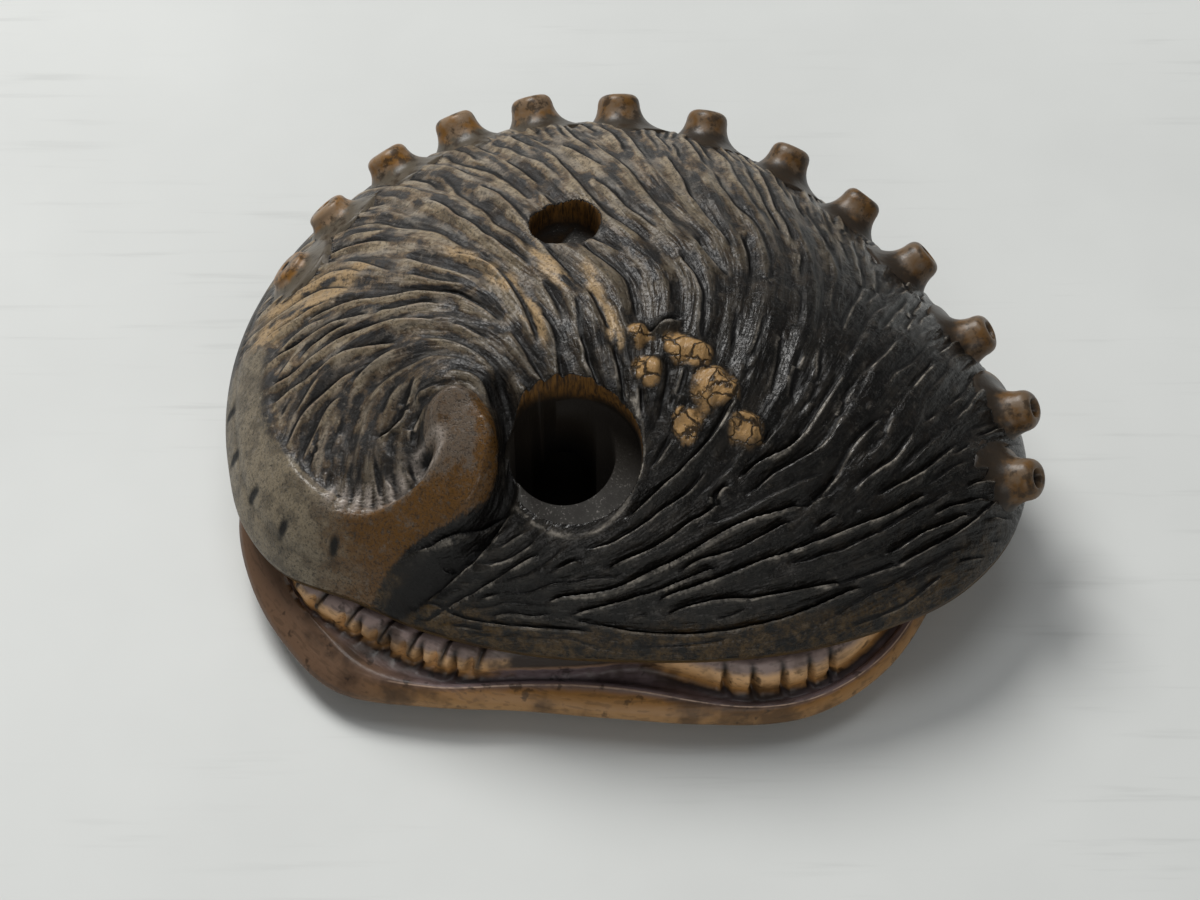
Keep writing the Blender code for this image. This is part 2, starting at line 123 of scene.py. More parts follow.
# The raised band that winds out of the whorl, from its head: (x, y, half width, rise), in U and V
BAND = ((-10.1, -6.5, 1.75, 0.9), (-9.5, -7.9, 1.9, 1.2), (-10.0, -9.6, 1.9, 1.2), (-12.0, -10.7, 1.9, 0.9),
        (-15.2, -10.9, 1.9, 0.6), (-18.6, -9.3, 2.0, 0.5), (-21.2, -6.0, 2.0, 0.4), (-22.8, -1.6, 2.0, 0.3),
        (-23.0, 3.0, 1.9, 0.2))
SUTURE = ((-7.6, -4.6, 0.7, 0.9), (-7.0, -7.2, 0.8, 1.5), (-7.1, -9.8, 0.8, 1.5), (-8.6, -11.4, 0.8, 1.2),
          (-11.0, -12.4, 0.8, 0.8), (-13.8, -12.9, 0.7, 0.4))
WHORL_CENTRE = (-15.6, -4.6)
WHORL_RADIUS = 5.2
WHORL_SINK = 1.1
SOFT_EDGE = 1.3

# Growth lines: the folds follow these from the shell's edge in towards the whorl, in U
GUIDES = (
    ((21.5, -8.1), (14.8, -12.5), (9.1, -14.7), (-2.0, -15.3), (-8.7, -13.8)),
    ((19.5, 6.4), (15.0, -2.9), (11.9, -7.8), (7.9, -11.1), (3.5, -12.8), (-2.0, -14.2), (-7.6, -14.0)),
    ((5.6, 23.5), (6.7, 10.4), (7.8, 5.1), (7.0, -1.8), (5.2, -6.2), (0.2, -10.9), (-4.2, -12.5)),
    ((-6.0, 19.4), (-3.2, 12.9), (-0.7, 7.8), (2.9, 2.2), (2.5, -3.5), (0.2, -9.7), (-6.4, -12.8)),
    ((-12.7, 12.1), (-9.2, 7.7), (-6.6, 4.1), (-3.5, 0.0), (-2.0, -5.2)),
    ((-22.6, 9.7), (-17.5, 9.2), (-12.5, 6.1), (-7.9, 2.4), (-6.1, -0.8)),
    ((-19.6, -7.3), (-19.1, -3.9), (-17.5, -0.9), (-13.4, 0.1), (-7.6, -2.6), (-6.4, -4.2)),
    ((-13.2, -9.2), (-13.4, -7.1), (-13.0, -4.6), (-10.9, -3.7), (-8.7, -4.5), (-7.5, -8.2)),
)
GUIDE_CORE = 0.6
FOLD_DEPTH = 0.3
FOLD_WIDTH = 0.95
FOLD_FIRST = 196.0
FOLD_LAST = -40.0
FOLD_SPACING = 8.5
FOLD_START = 0.93
FOLD_FADE_IN = 7.0
FOLD_FADE_OUT = 12.0
FOLD_STEPS = 82
FOLD_STEP = 0.5
WHORL_STARTS = ((-20.6, -5.0), (-19.0, -7.6), (-16.4, -8.6))

# The carver's boldest folds, one by one: strength, then the line that each follows, in U
BOLD_FOLDS = (
    (1.5, ((10.8, -10.0), (5.7, -11.8), (2.0, -13.2), (-0.9, -14.0), (-5.3, -14.3))),
    (1.3, ((11.6, -3.4), (10.3, -5.7), (8.4, -8.2), (6.4, -9.3), (5.5, -9.9))),
    (1.3, ((5.3, -10.0), (4.4, -10.6), (4.2, -11.1), (2.9, -11.8), (1.3, -12.6), (-2.0, -13.4))),
    (1.2, ((16.5, -8.4), (13.6, -10.4), (11.6, -11.3), (7.9, -12.7), (5.0, -13.6), (0.8, -14.5))),
    (1.0, ((4.7, -13.3), (0.2, -14.3), (-4.2, -14.8))),
    (1.1, ((14.8, -11.8), (10.3, -13.5), (7.5, -14.1), (4.4, -14.4), (1.3, -14.9))),
    (1.0, ((13.8, -5.4), (12.0, -7.5), (10.7, -9.5), (9.1, -10.9))),
    (1.0, ((15.7, -5.6), (14.3, -7.6), (12.7, -9.0), (11.6, -10.1))),
    (0.9, ((9.5, -2.4), (8.7, -4.7), (8.5, -6.2))),
    (0.9, ((18.4, -5.0), (16.0, -7.6), (13.3, -9.6))),
    (0.9, ((20.9, -6.7), (18.3, -9.5), (14.8, -11.8), (11.4, -13.2))),
    (2.2, ((-7.2, -10.4), (-8.6, -11.0), (-10.3, -11.5), (-12.3, -11.7), (-14.1, -11.4))),
    (1.9, ((-6.9, -10.6), (-7.8, -11.4), (-8.9, -12.1), (-9.3, -12.4))),
    (1.5, ((-10.4, 5.4), (-8.3, 3.8), (-6.9, 1.5), (-6.0, -0.8), (-5.5, -2.6))),
    (1.2, ((-22.6, 1.4), (-21.2, 2.4), (-19.5, 2.6), (-17.7, 2.8), (-15.1, 2.4))),
    (1.2, ((-22.0, 0.3), (-19.4, 0.6), (-17.0, 1.4), (-14.3, 1.1), (-11.1, 0.2))),
    (1.1, ((-21.5, -0.8), (-19.3, -0.5), (-16.6, 0.1), (-13.3, -0.5))),
    (1.1, ((-20.2, -4.7), (-19.2, -2.9), (-17.4, -1.6), (-15.7, -1.1))),
    (1.0, ((-19.2, -5.6), (-18.4, -4.0), (-17.4, -2.6), (-16.5, -2.4))),
    (1.6, ((-14.7, -5.8), (-13.3, -5.1), (-12.9, -4.1), (-12.3, -3.0))),
    (1.2, ((-15.2, 2.3), (-13.5, 2.0), (-12.3, 1.9), (-10.8, 1.5))),
    (1.8, ((0.6, -2.3), (1.6, -1.7), (2.8, -1.2))),
    (1.5, ((-7.4, -11.6), (-9.4, -12.5), (-11.8, -13.0), (-14.4, -13.1))),
    (1.3, ((-5.2, -12.7), (-7.5, -13.2), (-10.5, -13.6), (-13.2, -13.8))),
    (1.2, ((-12.3, -12.9), (-9.5, -14.1), (-6.0, -14.9), (-2.2, -15.3))),
    (1.2, ((-3.6, -14.9), (0.5, -15.35), (5.0, -15.25), (9.5, -14.35), (13.0, -12.9))),
)

# The band's lower side: the folds below it start along this line, in U
BAND_FOOT = ((-6.6, -9.4), (-8.3, -10.5), (-10.2, -11.1), (-12.3, -11.4), (-14.4, -12.0), (-17.0, -12.6),
             (-19.5, -12.6))

# Folds between them: how far apart, in U, and how deep, in V
SEED = 11
LINE_STEP = 0.25
LINE_REACH = 48
LINE_TRIES = 5000
FINE_TRIES = 9000
SHORTEST_FOLD = 1.6
SHORTEST_STROKE = 0.9
TAKEN_CELL = 0.1
FLAT_REACH = 32.0
END_SHARE = 0.55
FACING = (0.32, 0.95)
FOLD_SOFT = 0.15
FOLD_REACH = 1.6
STROKE_SOFT = 0.08
STROKE_REACH = 0.7
FOLD_RISE = 0.3
STROKE_RISE = 0.075

# Barnacles: (x, y, radius, rise), in U and V
BARNACLES = ((0.1, -2.3, 0.75, 0.5), (0.7, -4.6, 0.9, 0.5), (2.4, -3.3, 0.95, 0.55), (3.6, -3.7, 0.8, 0.5),
             (4.3, -5.6, 1.3, 0.9), (2.9, -7.5, 0.9, 0.45), (6.1, -7.5, 1.0, 0.55))

# Filled pores along the band, and the streaks worn down to bare wood: (x, y, half length, half width,
# heading in degrees), in U
DIMPLES = ((-23.9, 1.0), (-23.4, -2.4), (-21.9, -5.8), (-20.0, -8.5), (-17.0, -10.2))
DIMPLE_RADIUS = 0.42
DIMPLE_DEPTH = 0.14
WORN = ((-22.2, 4.2, 2.6, 0.9, 60), (-19.8, 6.9, 2.6, 0.8, 5), (-18.6, 5.4, 2.6, 0.7, 15),
        (-16.4, 6.4, 1.6, 0.5, 5), (-9.4, 4.7, 1.6, 0.5, -40), (-7.6, 2.5, 2.2, 0.65, -58),
        (-5.9, -0.6, 2.2, 0.5, -72), (-5.2, 3.4, 2.6, 0.4, -62), (-2.4, 1.2, 2.2, 0.35, -75),
        (-1.4, -1.5, 1.8, 0.35, -80))

# Whorl: the inner edge of the band, where its folds end in knuckles that carry a painted highlight,
# and the pocket beside the band's head, in U
INNER_EDGE = ((-11.9, -5.6), (-11.4, -7.2), (-12.0, -8.9), (-13.8, -9.5), (-17.2, -8.9), (-19.4, -7.2),
              (-20.6, -4.6))
INNER_STEP = 0.55
KNUCKLE_PITCH = 0.85
POCKET_AT = (-11.55, -7.7)
POCKET_RADIUS = 0.55
POCKET_DEPTH = 0.7

# Frill: where each notch is cut, as bearings, and how far it reaches to either side, in U
UPPER_NOTCHES = (-152.5, -148.3, -143.6, -138.2, -132.6, -127.6, -122.4, -116.7)
LOWER_NOTCHES = (-136.5, -131.4, -125.9, -120.5, -74.6, -70.3, -65.6, -61.2, -57.5)
NOTCH_REACH = 0.26
NOTCH_SLANT = 0.45
FRILL_NOTCH = 0.55

# Mesh, and its material slots: the shell's is 0 and the foot's 1
PORE_SLOT = 2
HOLE_SLOT = 3
FOOT_ROWS = 16
DOME_RINGS = 214
FLESH_ROWS = 46
MOST_TRIANGLES = 194000
RIM_FADE = 0.035
EDGE_MEAN = 6.0
RADIUS_MEAN = 21.5


def cubic(s, width, value, slope, i):
    """Cubic piece of that width after sample i, through the values with those slopes, at share s."""
    return ((2 * s**3 - 3 * s**2 + 1) * value[i] + (s**3 - 2 * s**2 + s) * width * slope[i]
            + (3 * s**2 - 2 * s**3) * value[i + 1] + (s**3 - s**2) * width * slope[i + 1])


def around(points, bearing):
    """Periodic smooth curve through (degrees, value) points: cubic pieces whose slopes are the
    slopes between neighbours."""
    known = np.array(sorted(points), float)
    angle = np.concatenate([known[-2:, 0] - 360, known[:, 0], known[:3, 0] + 360])
    value = np.concatenate([known[-2:, 1], known[:, 1], known[:3, 1]])
    slope = np.gradient(value, angle)
    at = (np.asarray(bearing, float) - known[0, 0]) % 360 + known[0, 0]
    i = np.clip(np.searchsorted(angle, at, side="right") - 1, 0, len(angle) - 2)
    width = angle[i + 1] - angle[i]
    s = (at - angle[i]) / width
    return cubic(s, width, value, slope, i)


def curve_through(points, count):
    """Smooth open curve of evenly spread samples through points of any width."""
    known = np.array(points, float)
    reach = np.concatenate([[0], np.cumsum(np.hypot(*np.diff(known[:, :2], axis=0).T))])
    slope = np.gradient(known, reach, axis=0)
    at = np.linspace(0, reach[-1], count)
    i = np.clip(np.searchsorted(reach, at, side="right") - 1, 0, len(reach) - 2)
    width = (reach[i + 1] - reach[i])[:, None]
    s = (at - reach[i])[:, None] / width
    return cubic(s, width, known, slope, i)


def distance(plan, at):
    """Distance of plan points from one place, in U."""
    return np.hypot(plan[..., 0] - at[0], plan[..., 1] - at[1])


def nearest(plan, samples):
    """Distance from each plan point to its nearest sample, and which sample that is."""
    away = np.full(plan.shape[:-1], np.inf)
    which = np.zeros(plan.shape[:-1], int)
    for number, sample in enumerate(samples):
        here = distance(plan, sample)
        closer = here < away
        away[closer] = here[closer]
        which[closer] = number
    return away, which


def headings_along(samples):
    """Direction of a curve at each of its samples."""
    heading = np.gradient(samples, axis=0)
    return heading / np.hypot(heading[:, 0], heading[:, 1])[:, None]


def side_of(plan, line):
    """Distance of plan points from a curve, above 0 on its left and below 0 on its right, and which
    sample is nearest."""
    heading = headings_along(line)
    away, which = nearest(plan, line)
    offset = plan - line[which]
    left = heading[which, 0] * offset[..., 1] - heading[which, 1] * offset[..., 0]
    return np.copysign(away, left), which


def rounded(x):
    """Bump that is 1 at 0 and falls smoothly to 0 at 1."""
    return np.clip(1 - x * x, 0, 1) ** 2


def rise_between(x, first, last):
    """0 before first, 1 after last, with a smooth rise between."""
    s = np.clip((x - first) / (last - first), 0, 1)
    return s * s * (3 - 2 * s)


def bell(x, width):
    """Bell curve of that half width."""
    return np.exp(-((x / width) ** 2))


def turned_from(bearing, middle):
    """How far bearings lie from one bearing, either way, in degrees."""
    return np.abs((bearing - middle + 180) % 360 - 180)


def lumps(plan, size, seed):
    """Smooth random field from -1 to 1: random values on a square lattice of that size, mixed by a
    smooth step between the four around each point."""
    table = np.random.default_rng(seed).uniform(-1, 1, (128, 128))
    at = plan / size + 61.7
    cell = np.floor(at).astype(int)
    s = at - cell
    s = s * s * (3 - 2 * s)
    i, j = cell[..., 0] % 127, cell[..., 1] % 127
    near = table[i, j] * (1 - s[..., 0]) + table[i + 1, j] * s[..., 0]
    far = table[i, j + 1] * (1 - s[..., 0]) + table[i + 1, j + 1] * s[..., 0]
    return near * (1 - s[..., 1]) + far * s[..., 1]


def dome(bearing, share):
    """The bare shell over plan bearing and share of the way out, in U, U and V: height falls from
    the crown to the edge as (1 - share^power)^root."""
    radius = around(EDGE, bearing)
    edge = around(EDGE_HEIGHT, bearing)
    turn = np.radians(bearing)
    x = CROWN[0] * (1 - share) + OUTLINE_CENTRE[0] * share + radius * share * np.cos(turn)
    y = CROWN[1] * (1 - share) + OUTLINE_CENTRE[1] * share + radius * share * np.sin(turn)
    z = edge + (CROWN_HEIGHT - edge) * (1 - share**DOME_POWER) ** DOME_ROOT
    return np.stack([x, y, z], -1)


def polar(plan, rounds=14):
    """Bearing and share of plan points: the share is solved for in rounds."""
    share = np.full(plan.shape[:-1], 0.5)
    for _ in range(rounds):
        dx = plan[..., 0] - CROWN[0] * (1 - share) - OUTLINE_CENTRE[0] * share
        dy = plan[..., 1] - CROWN[1] * (1 - share) - OUTLINE_CENTRE[1] * share
        bearing = np.degrees(np.arctan2(dy, dx))
        share = np.minimum(1.2, np.hypot(dx, dy) / around(EDGE, bearing))
    return bearing, share


def dome_at(plan):
    """Point of the bare shell over one plan point."""
    bearing, share = polar(np.array(plan, float))
    return dome(bearing, np.minimum(share, 1.0))


def flow(plan):
    """Direction of the growth folds: the mean of the guide lines' directions, by nearness."""
    total = np.zeros_like(plan)
    for guide in GUIDES:
        samples = curve_through(guide, 40)
        heading = headings_along(samples)
        away, which = nearest(plan, samples)
        total += heading[which] / (away**2 + GUIDE_CORE)[..., None] ** 1.5
    return total / np.hypot(total[..., 0], total[..., 1])[..., None]


def arc_table():
    """Length down the mean slope of the dome from the crown, in U, against share of the way out."""
    share = np.linspace(0, 1, 2001)
    fall = (CROWN_HEIGHT - EDGE_MEAN) * (1 - share**DOME_POWER) ** DOME_ROOT
    steps = np.hypot(np.diff(share) * RADIUS_MEAN, np.diff(fall))
    return share, np.concatenate([[0], np.cumsum(steps)])


def unrolled(bearing, share):
    """Points of the shell laid flat, so that lengths down its slope are true, in U."""
    reach = np.interp(share, *arc_table()) * around(EDGE, bearing) / RADIUS_MEAN
    turn = np.radians(bearing)
    return np.stack([reach * np.cos(turn), reach * np.sin(turn)], -1)


def rolled(flat):
    """Bearing and share of unrolled points."""
    bearing = np.degrees(np.arctan2(flat[..., 1], flat[..., 0]))
    reach = np.hypot(flat[..., 0], flat[..., 1]) * RADIUS_MEAN / around(EDGE, bearing)
    share, length = arc_table()
    return bearing, np.interp(reach, length, share)


def unrolled_plan(plan):
    """Unrolled points of plan points."""
    bearing, share = polar(np.array(plan, float))
    return unrolled(bearing, np.minimum(share, 1))


class FlatMap:
    """Values on an even grid over the unrolled shell, read anywhere by mixing the four around."""

    def __init__(self, work, step=0.3):
        side = np.arange(-FLAT_REACH, FLAT_REACH + step, step)
        x, y = np.meshgrid(side, side, indexing="ij")
        self.step = step
        self.values = work(np.stack([x, y], -1))

    def read(self, flat):
        at = np.clip((flat + FLAT_REACH) / self.step, 0, len(self.values) - 1.001)
        i, j = at[..., 0].astype(int), at[..., 1].astype(int)
        s, t = (at[..., 0] - i)[..., None], (at[..., 1] - j)[..., None]
        v = self.values
        near = v[i, j] * (1 - s) + v[i + 1, j] * s
        far = v[i, j + 1] * (1 - s) + v[i + 1, j + 1] * s
        return near * (1 - t) + far * t


def flat_headings(flat):
    """The flow over unrolled points, as directions of the unrolled shell."""
    plan = dome(*rolled(flat))[..., :2]
    moved = unrolled_plan(plan + 0.1 * flow(plan)) - unrolled_plan(plan)
    return moved / (np.hypot(moved[..., 0], moved[..., 1])[..., None] + 1e-9)


def flat_rules(flat):
    """Room for folds and their spacing over unrolled points, with none past the edge."""
    bearing, share = rolled(flat)
    plan = dome(bearing, share)[..., :2]
    inside = share < 0.999
    return np.stack([room(plan) * inside, spacing(plan)], -1)


def main_folds():
    """The solid's folds: each starts at the shell's edge or at the band and follows the flow in."""
    bearings = np.arange(FOLD_FIRST, FOLD_LAST, -FOLD_SPACING)
    rim = dome(bearings, np.full(len(bearings), FOLD_START))[:, :2]
    lines = [np.concatenate([rim, np.array(WHORL_STARTS)])]
    for _ in range(FOLD_STEPS):
        lines.append(lines[-1] + FOLD_STEP * flow(lines[-1]))
    return np.stack(lines, 1)


def on_band(plan):
    """How far up the raised band each plan point lies, 0 to 1, and the band's rise there."""
    band = curve_through(BAND, 90)
    away, which = nearest(plan, band)
    return rounded(away / (band[which, 2] * SOFT_EDGE)), band[which, 3]


def relief(plan, folds):
    """Rise of the main carving over the bare shell, in V: band, suture, sunken whorl, broad folds
    and barnacles, as in the solid."""
    band, height = on_band(plan)
    share = rise_between(band, 0.0, 0.6)
    rise = share * height
    suture = curve_through(SUTURE, 60)
    away, which = nearest(plan, suture)
    rise -= suture[which, 3] * rounded(away / (suture[which, 2] * SOFT_EDGE))
    from_whorl = distance(plan, WHORL_CENTRE)
    rise -= WHORL_SINK * rounded(from_whorl / WHORL_RADIUS) * (1 - share)
    fade_in = np.arange(FOLD_STEPS + 1) / FOLD_FADE_IN
    fade_out = (FOLD_STEPS - np.arange(FOLD_STEPS + 1)) / FOLD_FADE_OUT
    lines = [(line, np.clip(fade_in, 0, 1) * np.clip(fade_out, 0, 1)) for line in folds]
    found = nearest_lines(plan.reshape(-1, 2), lines, FOLD_WIDTH + FOLD_STEP)
    depth = rounded(found["away"] / FOLD_WIDTH) * found["strength"]
    rise -= FOLD_DEPTH * depth.reshape(share.shape) * (1 - share)
    for x, y, radius, height in BARNACLES:
        rise += height * rounded(distance(plan, (x, y)) / (radius * SOFT_EDGE))
    return rise


def above_foot_line(plan):
    """1 above the line where the band's lower side ends, 0 below it."""
    line = curve_through(BAND_FOOT, 50)
    side, _ = side_of(plan, line)
    return rise_between(-side, -0.25, 0.25)


def on_barnacles(plan):
    """1 on the barnacles, 0 off them."""
    most = np.zeros(plan.shape[:-1])
    for x, y, radius, _ in BARNACLES:
        away = distance(plan, (x, y)) + 0.25 * lumps(plan, 0.7, 5)
        most = np.maximum(most, 1 - rise_between(away, 0.7 * radius, 1.05 * radius))
    return most


def from_recess(plan):
    """Distance of plan points from the recess's rim, in U: below 0 inside it."""
    return np.hypot(plan[..., 0] - RECESS_AT[0], plan[..., 1] - RECESS_AT[1] - 0.35) - RECESS_RADIUS / U


def margin_share(plan):
    """1 on the smooth margin along the left edge, 0 off it."""
    bearing, share = polar(plan)
    turned_left = turned_from(bearing, 185)
    down_left = rise_between((bearing + 360) % 360, 172, 192)
    ragged = share + 0.025 * lumps(plan, 1.1, 49)
    outer = rise_between(ragged, 0.955 - 0.085 * down_left, 0.985 - 0.055 * down_left)
    return outer * (1 - rise_between(turned_left, 42, 55))


def room(plan):
    """Where folds may run, 1 to 0: off the band, the smooth left margin, the barnacles and the
    recess."""
    _, share = polar(plan)
    band, _ = on_band(plan)
    on_top = rise_between(band, 0.02, 0.25) * above_foot_line(plan)
    free = (1 - on_top) * (1 - margin_share(plan)) * (1 - on_barnacles(plan))
    near_side = 1 - rise_between(plan[..., 1], -9.5, -6.5)
    free = free * (1 - near_side * (1 - rise_between(from_recess(plan), 0.25, 0.6)))
    return free * (1 - rise_between(share, 0.985, 0.998))


def spacing(plan):
    """How far apart the folds lie down the slope, in U: wide at the top, close at the far rim and in
    the lower left."""
    bearing, share = polar(plan)
    whorl = 1 - rise_between(distance(plan, (-15, -2)), 5, 9)
    far_side = rise_between(bearing, -35, -5) * (1 - rise_between(bearing, 100, 140))
    far_rim = rise_between(share, 0.6, 0.85) * far_side
    lower = 1 - rise_between(plan[..., 1], -8, -2)
    top = rise_between(plan[..., 1], -5, 0) * (1 - rise_between(distance(plan, (-4, 4)), 9, 14))
    left_foot = lower * (1 - rise_between(plan[..., 0], -6, 2)) * (1 - whorl)
    open_parts = 0.02 * lower + 0.38 * top - 0.42 * left_foot
    return 0.98 - 0.02 * whorl - 0.3 * far_rim + (1 - whorl) * open_parts


def wander(plan):
    """How far each fold strays from the flow, in radians."""
    return 0.22 * lumps(plan, 3.1, 21) + 0.22 * lumps(plan, 1.3, 22) + 0.12 * lumps(plan, 0.6, 23)


def followed(starts, headings, way):
    """Lines from each start along the flow, or against it, in even steps."""
    lines = [starts]
    for _ in range(LINE_REACH):
        here = lines[-1]
        heading = headings.read(here)
        turn = wander(here)
        cos, sin = np.cos(turn), np.sin(turn)
        x = heading[:, 0] * cos - heading[:, 1] * sin
        y = heading[:, 0] * sin + heading[:, 1] * cos
        lines.append(here + way * LINE_STEP * np.stack([x, y], -1))
    return np.stack(lines, 1)


class Taken:
    """Raster of the unrolled shell that knows which places lie close to a line already drawn."""

    def __init__(self):
        cells = int(2 * FLAT_REACH / TAKEN_CELL) + 80
        self.full = np.zeros((cells, cells), bool)
        self.half = np.zeros((cells, cells), bool)

    def cell(self, flat):
        return np.clip(((flat + FLAT_REACH) / TAKEN_CELL).astype(int) + 20, 20, len(self.full) - 21)

    def stamp(self, points, apart):
        for (i, j), gap in zip(self.cell(points), apart):
            for raster, size in ((self.full, gap), (self.half, gap * END_SHARE)):
                r = int(round(size / TAKEN_CELL))
                side = np.arange(-r, r + 1)
                disc = side[:, None] ** 2 + side[None, :] ** 2 <= r * r
                raster[i - r:i + r + 1, j - r:j + r + 1] |= disc


def spread_lines(taken, starts, headings, rules, closeness, shortest, longest, seed):
    """Evenly spread lines: each start is followed both ways and kept for as far as it stays clear of
    those kept before it."""
    chance = np.random.default_rng(seed)
    ahead, behind = followed(starts, headings, 1), followed(starts, headings, -1)
    whole = np.concatenate([behind[:, :0:-1], ahead], 1)
    ruled = rules.read(whole)
    clear, gaps = ruled[..., 0] > 0.5, closeness * ruled[..., 1]
    middle = LINE_REACH
    kept = []
    for line, free, gap in zip(whole, clear, gaps):
        cells = taken.cell(line)
        most = int(longest * (0.25 + 0.75 * chance.random()) / LINE_STEP)
        shift = int(most * chance.random())
        if not free[middle] or taken.full[cells[middle, 0], cells[middle, 1]]:
            continue
        blocked = ~free | taken.half[cells[:, 0], cells[:, 1]]
        before = np.flatnonzero(blocked[:middle])
        after = np.flatnonzero(blocked[middle:])
        first = before[-1] + 1 if len(before) else 0
        last = middle + after[0] if len(after) else len(line)
        first, last = max(first, middle - shift), min(last, middle - shift + most)
        if (last - first) * LINE_STEP < shortest:
            continue
        part = line[first:last]
        taken.stamp(part, gap[first:last])
        kept.append(part)
    return kept


def seeds(count, seed):
    """Random points of the unrolled shell."""
    chance = np.random.default_rng(seed)
    share, length = arc_table()
    reach = length[-1] * np.sqrt(chance.uniform(0, 0.99, count))
    return unrolled(chance.uniform(-180, 180, count), np.interp(reach, length, share))


def tapered(line, strength, fade_in, fade_out):
    """A line with its strength at each sample, faded at both ends."""
    reach = np.arange(len(line)) * LINE_STEP
    return line, strength * rise_between(reach, 0, fade_in) * rise_between(reach[-1] - reach, 0, fade_out)


def draw_folds(headings, rules):
    """Every fold line with its strength: the bold ones, and those that fill the room between."""
    chance = np.random.default_rng(SEED)
    taken = Taken()
    drawn = []
    for strength, points in BOLD_FOLDS:
        length = np.hypot(*np.diff(np.array(points), axis=0).T).sum()
        line = unrolled_plan(curve_through(points, int(length / LINE_STEP) + 2))
        taken.stamp(line, 0.85 * rules.read(line)[:, 1])
        drawn.append(tapered(line, strength, 0.8, 1.2))
    for closeness, count, longest in ((1.0, LINE_TRIES, 16.0), (0.8, LINE_TRIES, 8.0)):
        starts = seeds(count, SEED + count + int(longest))
        lines = spread_lines(taken, starts, headings, rules, closeness, SHORTEST_FOLD, longest, SEED + 3)
        drawn += [tapered(part, 0.4 + 0.7 * chance.random(), 0.7, 1.2) for part in lines]
    return drawn


def draw_strokes(headings, rules):
    """Short fine strokes between the folds, with their strength."""
    chance = np.random.default_rng(SEED + 4)
    starts = seeds(FINE_TRIES, SEED + 5)
    lines = spread_lines(Taken(), starts, headings, rules, 0.42, SHORTEST_STROKE, 5.0, SEED + 6)
    return [tapered(part, 0.3 + 0.7 * chance.random(), 0.5, 0.7) for part in lines]


def tiles(plan, size=1.0):
    """Plan points sorted by square tile: their order, and each one's tile number."""
    cell = np.clip(np.floor((plan + 40) / size), 0, 99).astype(int)
    key = cell[:, 0] * 100 + cell[:, 1]
    order = np.argsort(key, kind="stable")
    return order, key[order]


def in_box(order, keys, lowest, highest):
    """Points in the tiles that a box of the plan touches."""
    (x0, y0), (x1, y1) = np.clip(np.floor(np.array([lowest, highest]) + 40), 0, 99).astype(int)
    columns = np.arange(x0, x1 + 1) * 100
    starts = np.searchsorted(keys, columns + y0, side="left")
    ends = np.searchsorted(keys, columns + y1, side="right")
    return np.concatenate([order[a:b] for a, b in zip(starts, ends)])


def nearest_lines(plan, lines, reach, chunk=10):
    """For each plan point: how far the nearest line is and the next one, how far to the left of the
    nearest it lies, that line's strength there and which way its left side faces."""
    order, keys = tiles(plan)
    count = len(plan)
    found = {name: np.zeros(count) for name in ("aside", "strength", "facing")}
    found["away"] = np.full(count, reach)
    found["next"] = np.full(count, reach)
    here = np.full(count, reach)
    aside, strength, facing = np.zeros(count), np.zeros(count), np.zeros(count)
    for line, weight in lines:
        step = np.diff(line, axis=0)
        length = np.hypot(step[:, 0], step[:, 1])
        heading = step / length[:, None]
        turned_out = np.clip(1.5 * (heading[:, 0] * FACING[1] - heading[:, 1] * FACING[0]), -1, 1)
        touched = []
        for start in range(0, len(line) - 1, chunk):
            part = slice(start, min(start + chunk, len(line) - 1))
            samples = line[start:part.stop + 1]
            picked = in_box(order, keys, samples.min(0) - reach, samples.max(0) + reach)
            offset = plan[picked][:, None, :] - samples[None, :-1]
            along = np.clip((offset * heading[part]).sum(-1), 0, length[part])
            gap = offset - along[..., None] * heading[part]
            which = (gap**2).sum(-1).argmin(1)
            row = np.arange(len(picked))
            gap, along, sample = gap[row, which], along[row, which], which + start
            away = np.hypot(gap[:, 0], gap[:, 1])
            left = heading[sample, 0] * gap[:, 1] - heading[sample, 1] * gap[:, 0]
            share = along / length[sample]
            closer = away < here[picked]
            picked, sample, share = picked[closer], sample[closer], share[closer]
            here[picked] = away[closer]
            aside[picked] = np.copysign(away[closer], left[closer])
            strength[picked] = weight[sample] * (1 - share) + weight[sample + 1] * share
            facing[picked] = turned_out[sample]
            touched.append(picked)
        touched = np.unique(np.concatenate(touched))
        first = touched[here[touched] < found["away"][touched]]
        second = touched[here[touched] >= found["away"][touched]]
        found["next"][second] = np.minimum(found["next"][second], here[second])
        found["next"][first] = found["away"][first]
        found["away"][first] = here[first]
        found["aside"][first], found["strength"][first] = aside[first], strength[first]
        found["facing"][first] = facing[first]
        here[touched] = reach
    return found


def overlapping(found, soft):
    """Overlapping folds like shingles, from what nearest_lines found: a crest stands on the near side
    of each line and slopes down towards the next, and a cut runs close behind the crest. Gives the
    rise, the lip and the cut, each for a strength of 1."""
    behind = found["aside"] * np.where(found["facing"] < 0, -1, 1)
    lean = np.abs(found["facing"])
    share = found["away"] / (found["away"] + found["next"] + 1e-9)
    slope = np.where(behind < 0, 1 - 4 * share**2, -(1 - 2 * share))
    edge = np.clip(np.abs(behind) / soft, 0, 1)
    lip = bell(behind + 1.1 * soft, 1.2 * soft)
    cut = bell(behind - 0.55 * soft, 0.95 * soft)
    strength = found["strength"]
    return (lean * slope * edge + 0.35 * lip - 1.0 * cut) * strength, lip * strength, 1.3 * cut * strength


